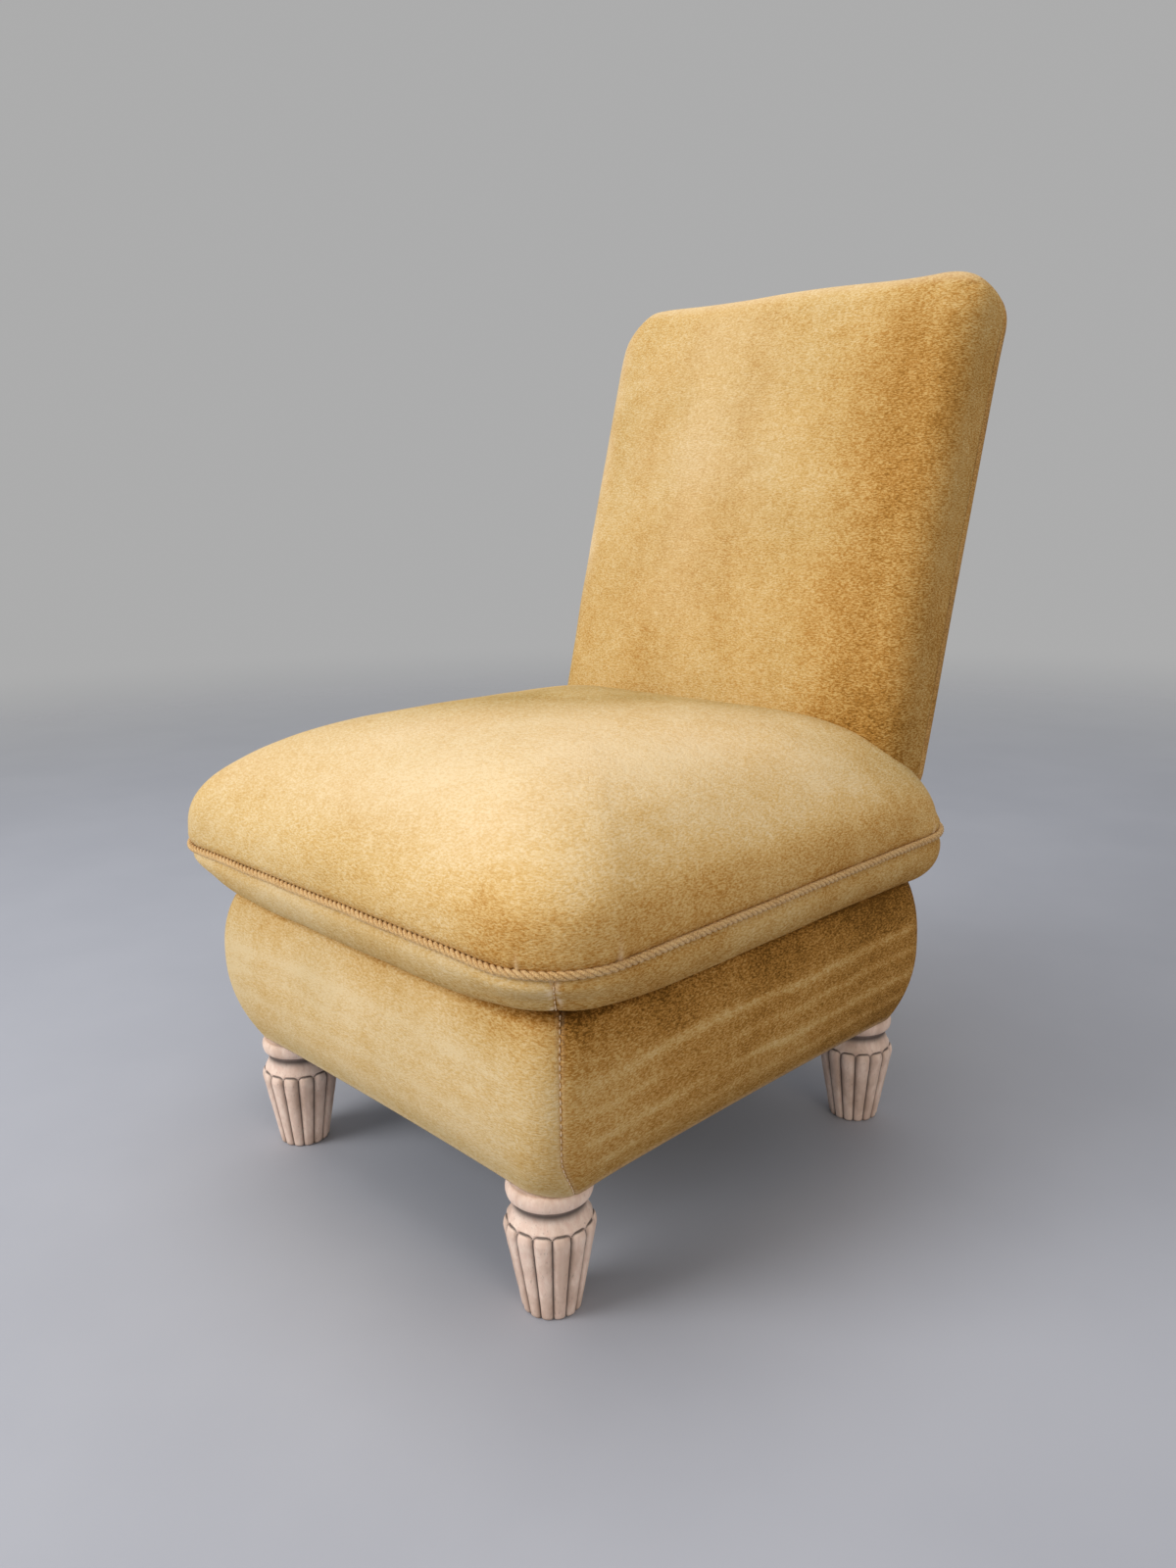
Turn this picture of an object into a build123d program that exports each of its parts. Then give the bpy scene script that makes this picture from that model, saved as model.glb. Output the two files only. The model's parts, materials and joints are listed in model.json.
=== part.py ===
from build123d import *
import os
from math import cos, hypot, pi, radians, sin, sqrt, tan

os.makedirs("parts", exist_ok=True)

# Armless upholstered cocktail chair: a rectangular wooden box frame on four turned and reeded feet,
# a sprung and stuffed seat with a corded edge, and a raked upholstered back on two posts.
# Millimetres, +Z up, front towards -Y. The floor is z = 0.

# Feet, set in from the lower edges of the base, with their turned rings measured down from the top
foot_side_inset = 36.5
foot_front_inset = 31.0
foot_rear_inset = 31.0
foot_height = 118.0
foot_floor_d = 45.0
reed_count = 14
reed_top_d = 72.0
reed_top_drop = 47.0
reed_end_drop = 39.0
reed_depth_top = 2.8
reed_depth_floor = 1.8
reed_depth_end = 0.7
reed_end_step = 0.3
collar_d = 65.5
collar_drop = 34.5
neck_d = 59.0
neck_drop = 29.5
bead_d = 62.0
torus_d = 68.0
torus_drop = 17.0
torus_half_height = 8.5
foot_top_d = 53.0
spigot_d = 17.0
spigot_length = 34.0

# Velvet, and clearances between cloth and padding and between wooden pieces
cover_t = 1.8
cloth_gap = 0.4
wood_gap = 0.15

# Base: bulging lower body, with its heights measured from the top of the feet
base_hem_drop = 5.5
base_bulge_rise = 76.0
crease_rise = 143.0
base_half_x = 242.0
base_front = 261.0
base_rear = 246.0
base_side_draw = 23.0
base_front_draw = 20.0
base_rear_draw = 5.0
base_top_draw = 14.0
base_front_corner_r = 28.0
base_rear_corner_r = 40.0
base_low_power = 2.2
base_high_power = 2.5
base_levels = (0, 0.1, 0.24, 0.42, 0.62, 0.8, 0.91, 1)

# Seat: how far the corded seam stands out over the base, the lip below it and the crown above it
lip_height = 46.0
cord_d = 6.5
seat_front_side_overhang = 26.0
seat_rear_side_overhang = 14.0
seat_front_overhang = 18.5
seat_rear_overhang = 16.0
seat_front_corner_r = 62.0
seat_rear_corner_r = 62.0
seat_bulge = 4.0
lip_draw = 34.0
lip_squareness = 2.6
crown_height = 123.0
crown_squareness = 3.2
crown_corner_growth = 0.5
lip_turns = (90, 62, 38, 18)
crown_turns = (0, 15, 29, 42, 54, 65, 74, 81)

# Back: slab leaning on its rake, measured along and across its front face
back_side_pad = 27.8
back_rake = 15.3
back_foot_y = 174.7
back_foot_rise = 82.0
back_height = 438.0
back_thick = 79.6
back_crown = 6.0
back_edge_round = 33.0
back_rear_round = 11.5
back_corner_r = 44.0
back_seam_depth = 64.0
back_corner_taper = 0.4
back_corner_least_r = 4.0
back_crown_steps = ((1.0, 3.2), (0.55, 1.7))
back_edge_turns = (76, 54, 33, 14, 0)
back_rear_turns = (0, 30, 58, 82)

# Wooden frame
rail_t = 18.0
rail_setback = 4.0
seat_tenon_t = 7.0
seat_tenon_length = 10.0
seat_tenon_shoulder = 22.0
block_leg = 88.0
block_height = 42.0
post_width = 26.0
post_depth = 32.0
post_front_depth = 30.0
post_top_drop = 24.0
top_rail_height = 60.0
low_rail_height = 42.0
low_rail_rise = 62.0
back_rail_t = 22.0
back_tenon_t = 9.0
back_tenon_length = 18.0
back_tenon_shoulder = 8.0

# Bolts through the side rails and posts
bolt_d = 8.0
bolt_head_d = 18.0
bolt_head_h = 4.0
bolt_sink = 5.0
nut_af = 13.0
nut_h = 6.5
bolt_tail = 3.0
bolt_rises = (36.0, 82.0)
bolt_well_gap = 0.5

# Webbing, springs and hessian
web_width = 50.0
web_t = 1.6
seat_web_x = (-114.0, -38.0, 38.0, 114.0)
seat_web_y = (-144.0, -58.0, 28.0, 114.0)
web_lap = 14.0
back_web_x = (-110.0, 0.0, 110.0)
back_cross_webs = 3
spring_wire = 3.6
spring_end_r = 42.0
spring_waist_r = 27.0
spring_turns = 4
spring_steps = 12
spring_spots = ((-90.0, -120.0), (90.0, -120.0), (-90.0, 80.0), (90.0, 80.0))
hessian_t = 1.0
pocket_height = 16.0
pocket_post_gap = 6.0
post_slot_gap = 1.0
dust_cover_t = 0.8
dust_cover_lap = 3.0
dust_cover_gap = 1.0

# Shared places worked out from the sizes above
far = 2000.0
reed_top_z = foot_height - reed_top_drop
reed_end_z = foot_height - reed_end_drop
collar_z = foot_height - collar_drop
neck_z = foot_height - neck_drop
torus_z = foot_height - torus_drop
base_bottom_z = foot_height - base_hem_drop
base_bulge_z = foot_height + base_bulge_rise
crease_z = foot_height + crease_rise
cord_z = crease_z + lip_height
back_foot_z = cord_z + back_foot_rise
bottom_half_x = base_half_x - base_side_draw
bottom_front = base_front - base_front_draw
bottom_rear = base_rear - base_rear_draw
rail_x = bottom_half_x - rail_setback
rail_front = bottom_front - rail_setback
rail_rear = bottom_rear - rail_setback
rail_in_x = rail_x - rail_t
rail_in_front = rail_front - rail_t
rail_in_rear = rail_rear - rail_t
rail_low_z = foot_height
rail_top_z = crease_z + cover_t + cloth_gap
block_top_z = rail_low_z + block_height
post_out_x = rail_in_x
post_in_x = post_out_x - post_width
back_half_x = post_out_x + back_side_pad
seat_front_half_x = base_half_x + seat_front_side_overhang
seat_rear_half_x = base_half_x + seat_rear_side_overhang
seat_front = base_front + seat_front_overhang
seat_rear = base_rear + seat_rear_overhang
foot_x = bottom_half_x - foot_side_inset
foot_front_y = foot_front_inset - bottom_front
foot_rear_y = bottom_rear - foot_rear_inset
foot_places = {
    "front_left": (-foot_x, foot_front_y),
    "front_right": (foot_x, foot_front_y),
    "rear_left": (-foot_x, foot_rear_y),
    "rear_right": (foot_x, foot_rear_y),
}
corners = {
    "front_left": (-1, -1, -rail_in_x, -rail_in_front),
    "front_right": (1, -1, rail_in_x, -rail_in_front),
    "rear_left": (-1, 1, -rail_in_x, rail_in_rear),
    "rear_right": (1, 1, rail_in_x, rail_in_rear),
}
back_plane = Plane(
    origin=(0, back_foot_y, back_foot_z),
    x_dir=(1, 0, 0),
    z_dir=(0, -cos(radians(back_rake)), sin(radians(back_rake))),
)
back_top = back_height / cos(radians(back_rake))


def box(x0, x1, y0, y1, z0, z1):
    return Pos((x0 + x1) / 2, (y0 + y1) / 2, (z0 + z1) / 2) * Box(x1 - x0, y1 - y0, z1 - z0)


def rod_x(x0, x1, y, z, d):
    return Pos((x0 + x1) / 2, y, z) * Rot(0, 90, 0) * Cylinder(d / 2, x1 - x0)


def back_box(x0, x1, rise0, rise1, depth0, depth1):
    """Box in the back's own frame: rise runs up the leaning face, depth runs rearwards from it."""
    return back_plane.location * box(x0, x1, rise0, rise1, -depth1, -depth0)


# Turned and reeded feet

def reed_section(z, d, depth):
    """Ring of convex reeds: one arc for each reed, meeting in sharp grooves."""
    step = 2 * pi / reed_count
    groove_r = d / 2 - depth

    def spot(r, angle):
        return (r * cos(angle), r * sin(angle))

    arcs = []
    for i in range(reed_count):
        a = i * step
        arcs.append(ThreePointArc(spot(groove_r, a), spot(d / 2, a + step / 2), spot(groove_r, a + step)))
    return Pos(0, 0, z) * make_face(Curve() + arcs)


def foot_solid():
    """Reeded taper under a turned collar, neck and torus, with a spigot on top."""
    reeds = loft([
        reed_section(0, foot_floor_d, reed_depth_floor),
        reed_section(reed_top_z, reed_top_d, reed_depth_top),
        reed_section(reed_end_z, collar_d + 2 * reed_end_step, reed_depth_end),
    ], ruled=True)
    collar_r = collar_d / 2
    bead_r = bead_d / 2
    torus_low = torus_z - torus_half_height
    torus_high = torus_z + torus_half_height
    spigot_top = foot_height + spigot_length
    outline = Polyline(
        (0, reed_top_z), (collar_r - reed_depth_top, reed_top_z),
        (collar_r, reed_end_z), (collar_r, collar_z))
    outline += ThreePointArc((collar_r, collar_z), (neck_d / 2, neck_z), (bead_r, torus_low))
    outline += ThreePointArc((bead_r, torus_low), (torus_d / 2, torus_z), (bead_r, torus_high))
    outline += Polyline(
        (bead_r, torus_high), (foot_top_d / 2, torus_high), (foot_top_d / 2, foot_height),
        (spigot_d / 2, foot_height), (spigot_d / 2, spigot_top), (0, spigot_top), (0, reed_top_z))
    return reeds + revolve(Plane.XZ * make_face(outline), Axis.Z)


foot = foot_solid()
parts = {}
for name, (x, y) in foot_places.items():
    parts[name + "_foot"] = Pos(x, y, 0) * foot


# Plan outlines and lofted soft bodies

def plan(z, front_half, rear_half, front, rear, front_r, rear_r):
    corners_xy = [(-front_half, -front), (front_half, -front), (rear_half, rear), (-rear_half, rear)]
    edge = FilletPolyline(*corners_xy, radius=[front_r, front_r, rear_r, rear_r], close=True)
    return Pos(0, 0, z) * make_face(edge)


def base_body(shrink, low_z, high_z):
    """Bulging lower body, drawn in towards the feet, with its surface moved in by shrink."""
    def level(z):
        if z < base_bulge_z:
            share = ((base_bulge_z - z) / (base_bulge_z - base_bottom_z)) ** base_low_power
            draws = (base_side_draw * share, base_front_draw * share, base_rear_draw * share)
        else:
            share = ((z - base_bulge_z) / (crease_z - base_bulge_z)) ** base_high_power
            draws = (base_top_draw * share,) * 3
        half = base_half_x - draws[0] - shrink
        return plan(
            z, half, half, base_front - draws[1] - shrink, base_rear - draws[2] - shrink,
            base_front_corner_r - shrink, base_rear_corner_r - shrink)
    return loft([level(low_z + (high_z - low_z) * share) for share in base_levels], ruled=True)


def seat_level(z, scale, draw):
    front_half = seat_front_half_x * scale - draw
    rear_half = seat_rear_half_x * scale - draw
    middle = (seat_rear - seat_front) / 2
    half_y = (seat_front + seat_rear) / 2 * scale - draw
    grow = 1 + crown_corner_growth * (1 - scale)
    front_r = seat_front_corner_r * scale * grow - draw
    rear_r = seat_rear_corner_r * scale * grow - draw
    return plan(z, front_half, rear_half, half_y - middle, half_y + middle, front_r, rear_r)


def seat_body(shrink, low_z):
    """Seat: lip rounded in to the crease, fullest at the cord, crowned above."""
    levels = []
    for turn in lip_turns:
        drop = (cord_z - low_z) * sin(radians(turn)) ** (2 / lip_squareness)
        draw = lip_draw * (1 - cos(radians(turn)) ** (2 / lip_squareness))
        levels.append(seat_level(cord_z - drop, 1, shrink + draw - seat_bulge * sin(radians(2 * turn))))
    for turn in crown_turns:
        scale = cos(radians(turn)) ** (2 / crown_squareness)
        bulge = seat_bulge * sin(radians(min(3 * turn, 180)))
        rise = (crown_height - shrink) * sin(radians(turn))
        levels.append(seat_level(cord_z + rise, scale, shrink - bulge))
    return loft(levels, ruled=True)


def back_level(depth, draw):
    half = back_half_x - draw
    top = back_top - draw
    low = back_low + draw
    r = max(back_corner_r - draw * back_corner_taper, back_corner_least_r)
    corners_xy = [(-half, low), (half, low), (half, top), (-half, top)]
    face = make_face(FilletPolyline(*corners_xy, radius=r, close=True))
    return back_plane.location * Pos(0, 0, -depth) * face


def back_body(shrink):
    """Back slab: crowned front, rounded front edges, tighter rear edges."""
    levels = []
    for height, inset in back_crown_steps:
        levels.append(back_level(shrink - back_crown * height, back_edge_round * inset + shrink))
    for turn in back_edge_turns:
        depth = back_edge_round * (1 - sin(radians(turn)))
        levels.append(back_level(depth + shrink, back_edge_round * (1 - cos(radians(turn))) + shrink))
    for turn in back_rear_turns:
        depth = back_thick - back_rear_round * (1 - sin(radians(turn)))
        levels.append(back_level(depth - shrink, back_rear_round * (1 - cos(radians(turn))) + shrink))
    return loft(levels, ruled=True)


# The back's lower end reaches down to just above the cord along its rear face
back_low = (cord_z + cord_d - back_foot_z + back_thick * sin(radians(back_rake))) / cos(radians(back_rake))

# Wooden seat frame: front and rear rails tenoned into the side rails, corners rounded under the cloth
rail_front_r = base_front_corner_r - rail_setback
rail_rear_r = base_rear_corner_r - rail_setback
rail_outline = plan(0, rail_x, rail_x, rail_front, rail_rear, rail_front_r, rail_rear_r)
rail_block = Pos(0, 0, -far) * extrude(rail_outline, 2 * far, dir=(0, 0, 1))
rails = {
    "left_seat_rail": box(-rail_x, -rail_in_x, -rail_front, rail_rear, rail_low_z, rail_top_z),
    "right_seat_rail": box(rail_in_x, rail_x, -rail_front, rail_rear, rail_low_z, rail_top_z),
}
seat_mortises = Part()
for name, near, away in (
    ("front_seat_rail", -rail_front, -rail_in_front),
    ("rear_seat_rail", rail_in_rear, rail_rear),
):
    rail = box(-rail_in_x, rail_in_x, near, away, rail_low_z, rail_top_z)
    tenon_x = rail_in_x + seat_tenon_length
    tenon_y0 = (near + away - seat_tenon_t) / 2
    tenon_y1 = tenon_y0 + seat_tenon_t
    tenon_z0 = rail_low_z + seat_tenon_shoulder
    tenon_z1 = rail_top_z - seat_tenon_shoulder
    rails[name] = rail + box(-tenon_x, tenon_x, tenon_y0, tenon_y1, tenon_z0, tenon_z1)
    seat_mortises += box(
        -tenon_x - wood_gap, tenon_x + wood_gap, tenon_y0 - wood_gap, tenon_y1 + wood_gap,
        tenon_z0 - wood_gap, tenon_z1 + wood_gap)

# Corner blocks glued inside the frame, bored for the feet's spigots
for name, (sx, sy, cx, cy) in corners.items():
    outline = Polyline((cx, cy), (cx - sx * block_leg, cy), (cx, cy - sy * block_leg), close=True)
    block = Pos(0, 0, rail_low_z) * extrude(make_face(outline), block_height, dir=(0, 0, 1))
    x, y = foot_places[name]
    bore_depth = spigot_length + 2 * wood_gap
    parts[name + "_corner_block"] = block - Pos(x, y, rail_low_z) * Cylinder(
        spigot_d / 2 + wood_gap, 2 * bore_depth)

# Back posts stand on the rear corner blocks, bolted to the side rails and raked with the back
post_rear_depth = post_front_depth + post_depth
post_top = back_top - post_top_drop
post_reach = (back_foot_z - block_top_z) / cos(radians(back_rake)) + post_rear_depth
below_block = box(-far, far, -far, far, -far, block_top_z)


def post_line_y(z):
    """Middle of the post's depth at a given height."""
    lean = (back_foot_z - z) * tan(radians(back_rake))
    return back_foot_y - lean + (post_front_depth + post_depth / 2) / cos(radians(back_rake))


posts = {}
bolts = Part()
nuts = Part()
bolt_holes = Part()
bolt_wells = Part()
for name, side in (("left", -1), ("right", 1)):
    ends = sorted((side * post_in_x, side * post_out_x))
    post = back_box(ends[0], ends[1], -post_reach, post_top, post_front_depth, post_rear_depth)
    posts[name + "_back_post"] = post - below_block
    for rise in bolt_rises:
        z = block_top_z + rise
        y = post_line_y(z)
        head_in = rail_x - bolt_sink
        shank = sorted((side * (post_in_x - nut_h - bolt_tail), side * head_in))
        head = sorted((side * head_in, side * (head_in + bolt_head_h)))
        well = sorted((side * head_in, side * (rail_x + 1)))
        nut_span = sorted((side * (post_in_x - nut_h), side * post_in_x))
        bolts += rod_x(shank[0], shank[1], y, z, bolt_d) + rod_x(head[0], head[1], y, z, bolt_head_d)
        bolt_holes += rod_x(shank[0], shank[1], y, z, bolt_d + 2 * wood_gap)
        bolt_wells += rod_x(well[0], well[1], y, z, bolt_head_d + 2 * bolt_well_gap)
        hexagon = extrude(RegularPolygon(nut_af / 2, 6, major_radius=False), nut_h)
        nuts += Pos(nut_span[0], y, z) * Rot(0, 90, 0) * hexagon
parts["back_post_bolts"] = bolts
parts["back_post_nuts"] = nuts - bolt_holes
for name, rail in rails.items():
    if name.startswith(("left", "right")):
        rail -= seat_mortises + bolt_holes + bolt_wells
    parts[name] = rail & rail_block

# Rails across the back, tenoned into the posts
mortises = Part()
for name, low, height in (
    ("back_top_rail", post_top - top_rail_height, top_rail_height),
    ("back_lower_rail", low_rail_rise, low_rail_height),
):
    rail = back_box(
        -post_in_x, post_in_x, low, low + height, post_front_depth, post_front_depth + back_rail_t)
    tenon_depth = post_front_depth + (back_rail_t - back_tenon_t) / 2
    for side in (-1, 1):
        ends = sorted((side * post_in_x, side * (post_in_x + back_tenon_length)))
        rise0, rise1 = low + back_tenon_shoulder, low + height - back_tenon_shoulder
        rail += back_box(ends[0], ends[1], rise0, rise1, tenon_depth, tenon_depth + back_tenon_t)
        mortises += back_box(
            ends[0] - wood_gap, ends[1] + wood_gap, rise0 - wood_gap, rise1 + wood_gap,
            tenon_depth - wood_gap, tenon_depth + back_tenon_t + wood_gap)
    parts[name] = rail
for name, post in posts.items():
    parts[name] = post - mortises - bolt_holes

# Webbing: strips under the seat frame, crosswise strips below the lengthwise ones
lengthwise = Part()
for x in seat_web_x:
    lengthwise += box(
        x - web_width / 2, x + web_width / 2, -rail_in_front - web_lap, rail_in_rear + web_lap,
        rail_low_z - web_t, rail_low_z)
crosswise = Part()
for y in seat_web_y:
    crosswise += box(
        -rail_in_x - web_lap, rail_in_x + web_lap, y - web_width / 2, y + web_width / 2,
        rail_low_z - 2 * web_t, rail_low_z - web_t)
parts["seat_webbing_lengthwise"] = lengthwise
parts["seat_webbing_crosswise"] = crosswise

# Coil springs, wide at both ends and narrow at the waist, standing on the webbing
pocket_top_z = rail_top_z + pocket_height
hessian_z = pocket_top_z - hessian_t
spring_low = rail_low_z + spring_wire / 2
spring_high = hessian_z - spring_wire / 2


def spring_point(turn):
    share = turn / spring_turns
    r = spring_waist_r + (spring_end_r - spring_waist_r) * (2 * share - 1) ** 2
    angle = 2 * pi * turn
    return Vector(r * cos(angle), r * sin(angle), spring_low + (spring_high - spring_low) * share)


def spring_solid():
    count = spring_turns * spring_steps
    sections = []
    for i in range(count + 1):
        here = spring_point(i / spring_steps)
        ahead = spring_point((i + 0.5) / spring_steps) - spring_point((i - 0.5) / spring_steps)
        outward = Vector(here.X, here.Y, 0).normalized()
        side = Plane(origin=here, x_dir=outward, z_dir=ahead.normalized())
        sections.append(side * Rectangle(spring_wire, spring_wire))
    return loft(sections, ruled=True)


spring_gap = min(
    (spring_point(i / spring_steps) - spring_point(j / spring_steps)).length
    for i in range(spring_turns * spring_steps)
    for j in range(i + spring_steps // 2, spring_turns * spring_steps + 1)
) - spring_wire * sqrt(2)
print("least gap of a seat spring to itself, mm:", round(spring_gap, 2))
spring = spring_solid()
springs = Part()
for x, y in spring_spots:
    springs += Pos(x, y, 0) * spring
parts["seat_springs"] = springs

# Hessian over the springs, in front of the posts
post_front_y = back_foot_y - (back_foot_z - rail_top_z) * tan(radians(back_rake))
post_front_y += post_front_depth / cos(radians(back_rake))
pocket_rear = post_front_y - pocket_post_gap
parts["seat_hessian"] = box(
    -rail_in_x + cloth_gap, rail_in_x - cloth_gap, -rail_in_front + cloth_gap, pocket_rear - cloth_gap,
    hessian_z, pocket_top_z - cloth_gap)


def ring_path(half_front, half_rear, front, rear, z, front_r, rear_r):
    """Open path once round an outline, from the middle of the rear edge back to it."""
    spots = [
        (0, rear, z), (-half_rear, rear, z), (-half_front, -front, z),
        (half_front, -front, z), (half_rear, rear, z), (cloth_gap, rear, z),
    ]
    return FilletPolyline(*spots, radius=[rear_r, front_r, front_r, rear_r])


def ring_cord(path, d):
    return sweep(Plane(origin=path @ 0, z_dir=path % 0) * Circle(d / 2), path=path)


# Four wedges that split a ring of cloth or padding at the corner seams

def wedge(first, second, outward):
    """Prism outside one side of the rail frame, bounded by 45 degree planes at its ends."""
    (x0, y0), (x1, y1) = first, second
    ox, oy = outward
    reach = far / 4
    along_x, along_y = (x1 - x0) / hypot(x1 - x0, y1 - y0), (y1 - y0) / hypot(x1 - x0, y1 - y0)
    outline = Polyline(
        first, second, (x1 + reach * (ox + along_x), y1 + reach * (oy + along_y)),
        (x0 + reach * (ox - along_x), y0 + reach * (oy - along_y)), close=True)
    return extrude(make_face(outline), far, dir=(0, 0, 1))


wedges = {
    "front": wedge((-rail_x, -rail_front), (rail_x, -rail_front), (0, -1)),
    "right": wedge((rail_x, -rail_front), (rail_x, rail_rear), (1, 0)),
    "rear": wedge((rail_x, rail_rear), (-rail_x, rail_rear), (0, 1)),
    "left": wedge((-rail_x, rail_rear), (-rail_x, -rail_front), (-1, 0)),
}

# Base padding and its velvet panels, seamed at the corners and turned under at the bottom
base_high = crease_z - cloth_gap
pad_shrink = cover_t + cloth_gap
base_pad = base_body(pad_shrink, base_bottom_z + pad_shrink, base_high) - rail_block
base_skin = base_body(0, base_bottom_z, base_high)
base_skin -= base_body(cover_t, base_bottom_z + cover_t, base_high + cover_t)
base_skin -= rail_block
for side, piece in wedges.items():
    parts["base_" + side + "_padding"] = base_pad & piece
    parts["base_" + side + "_cover"] = base_skin & piece

# Thin black cloth closing the underside, cut out round the feet
dust_z = base_bottom_z - cloth_gap
dust_half = rail_x + dust_cover_lap
dust_outline = plan(
    dust_z - dust_cover_t, dust_half, dust_half, rail_front + dust_cover_lap, rail_rear + dust_cover_lap,
    rail_front_r + dust_cover_lap, rail_rear_r + dust_cover_lap)
dust = extrude(dust_outline, dust_cover_t, dir=(0, 0, 1))
for x, y in foot_places.values():
    dust -= Pos(x, y, dust_z) * Cylinder(foot_top_d / 2 + dust_cover_gap, 4 * dust_cover_t)
parts["dust_cover"] = dust

# Seat stuffing, hollowed under its middle for the springs and passed by the posts
post_slots = Part()
for side in (-1, 1):
    ends = sorted((side * (post_in_x - post_slot_gap), side * (post_out_x + post_slot_gap)))
    post_slots += back_box(
        ends[0], ends[1], -post_reach, back_top, post_front_depth - post_slot_gap,
        post_rear_depth + post_slot_gap)
stuffing = seat_body(pad_shrink, rail_top_z)
stuffing -= box(-rail_in_x, rail_in_x, -rail_in_front, pocket_rear, crease_z, pocket_top_z)
parts["seat_stuffing"] = stuffing - post_slots

# Seat cover: a top panel above the cord and a seamed border below it
seat_skin = seat_body(0, crease_z) - seat_body(cover_t, crease_z + cover_t) - post_slots
above_cord = box(-far, far, -far, far, cord_z, far)
parts["seat_top_cover"] = seat_skin & above_cord
seat_band = seat_skin - above_cord - rail_block
for side, piece in wedges.items():
    parts["seat_" + side + "_border"] = seat_band & piece
cord_off = cord_d / 2 + cloth_gap
parts["seat_cord"] = ring_cord(ring_path(
    seat_front_half_x + cord_off, seat_rear_half_x + cord_off, seat_front + cord_off, seat_rear + cord_off,
    cord_z, seat_front_corner_r + cord_off, seat_rear_corner_r + cord_off), cord_d)

# Webbing and hessian on the front of the back frame
web_front = post_front_depth - web_t
uprights = Part()
for x in back_web_x:
    uprights += back_box(
        x - web_width / 2, x + web_width / 2,
        low_rail_rise + back_tenon_shoulder, post_top - back_tenon_shoulder, web_front, post_front_depth)
crossings = Part()
web_room_low = low_rail_rise + low_rail_height
web_room_high = post_top - top_rail_height
for i in range(back_cross_webs):
    rise = web_room_low + (web_room_high - web_room_low) * (i + 1) / (back_cross_webs + 1)
    crossings += back_box(
        -post_in_x - web_lap, post_in_x + web_lap, rise - web_width / 2, rise + web_width / 2,
        web_front - web_t, web_front)
parts["back_webbing_upright"] = uprights
parts["back_webbing_cross"] = crossings
hessian_depth = web_front - web_t - hessian_t
parts["back_hessian"] = back_box(
    -post_out_x + back_tenon_shoulder, post_out_x - back_tenon_shoulder, low_rail_rise, post_top - cloth_gap,
    hessian_depth, hessian_depth + hessian_t)

# Back padding wraps the frame in front, at the sides and over the top; wadding closes the rear
seat_room = seat_body(-cloth_gap, crease_z)
back_pad = back_body(pad_shrink) - seat_room
back_pad -= back_box(
    -post_out_x - cloth_gap, post_out_x + cloth_gap, -far / 4, post_top + cloth_gap,
    hessian_depth - cloth_gap, post_rear_depth)
behind_frame = back_box(-far, far, -far, far, post_rear_depth, far)
parts["back_padding"] = back_pad - behind_frame
parts["back_rear_wadding"] = back_pad & behind_frame

# Back covers: front and sides in one panel, outside back slip-stitched to it
back_skin = back_body(0) - seat_room - back_body(cover_t)
behind_seam = back_box(-far, far, -far, far, back_seam_depth, far)
parts["back_front_cover"] = back_skin - behind_seam
parts["back_outer_cover"] = back_skin & behind_seam

# The origin is on the floor, under the middle of the whole chair's box
boxes = [part.bounding_box() for part in parts.values()]
front_most = min(b.min.Y for b in boxes)
rear_most = max(b.max.Y for b in boxes)
middle_y = (front_most + rear_most) / 2
for name, part in parts.items():
    placed = [solid.moved(Pos(0, -middle_y, 0)) for solid in part.solids()]
    export_step(placed[0] if len(placed) == 1 else Compound(placed), "parts/" + name + ".step")
print("depth, mm:", round(rear_most - front_most, 1), "moved back by", round(middle_y, 2))
print("cord length, mm:", round(parts["seat_cord"].volume / (pi * cord_d ** 2 / 4), 1))
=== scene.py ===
import json
import math

import bmesh
import bpy
import numpy as np
from mathutils import Matrix, Vector, noise
from mathutils.geometry import delaunay_2d_cdt


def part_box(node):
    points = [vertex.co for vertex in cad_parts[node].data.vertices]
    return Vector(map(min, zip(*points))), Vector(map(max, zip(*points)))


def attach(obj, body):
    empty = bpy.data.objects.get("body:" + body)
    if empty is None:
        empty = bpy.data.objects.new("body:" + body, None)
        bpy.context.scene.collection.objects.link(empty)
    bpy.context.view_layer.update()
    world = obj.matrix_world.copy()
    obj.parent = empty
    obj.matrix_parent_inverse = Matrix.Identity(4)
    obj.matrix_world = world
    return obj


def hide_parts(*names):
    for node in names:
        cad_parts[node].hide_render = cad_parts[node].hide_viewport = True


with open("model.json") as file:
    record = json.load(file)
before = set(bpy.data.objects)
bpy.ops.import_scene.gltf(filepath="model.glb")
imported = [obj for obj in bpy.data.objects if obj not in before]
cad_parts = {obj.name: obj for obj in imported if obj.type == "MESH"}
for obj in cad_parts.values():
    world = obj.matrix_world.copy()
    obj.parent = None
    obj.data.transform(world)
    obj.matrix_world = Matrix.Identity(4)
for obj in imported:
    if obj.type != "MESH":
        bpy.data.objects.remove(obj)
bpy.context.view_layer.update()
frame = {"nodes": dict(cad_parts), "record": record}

MM = 0.001

# Sizes in millimetres, the same as the solids have. Heights are measured from the floor, plan sizes
# from the middle of the four feet.
foot_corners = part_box("front_left_foot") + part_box("rear_left_foot")
FEET_MIDDLE_Y = sum(corner.y for corner in foot_corners) / len(foot_corners) / MM
FOOT_X = 182.5
FOOT_Y = 210.0

CORD_Z = 307.0
CORD_D = 6.5
SEAT_FRONT_HALF, SEAT_REAR_HALF = 268.0, 256.0
SEAT_FRONT, SEAT_REAR = 279.5, 262.0
SEAT_FRONT_R, SEAT_REAR_R = 62.0, 66.0
SEAT_BULGE = 5.0
LIP_DRAW = 34.0
LIP_POWER = 2.6
CROWN = 123.0
CROWN_POWER = 3.2

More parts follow.
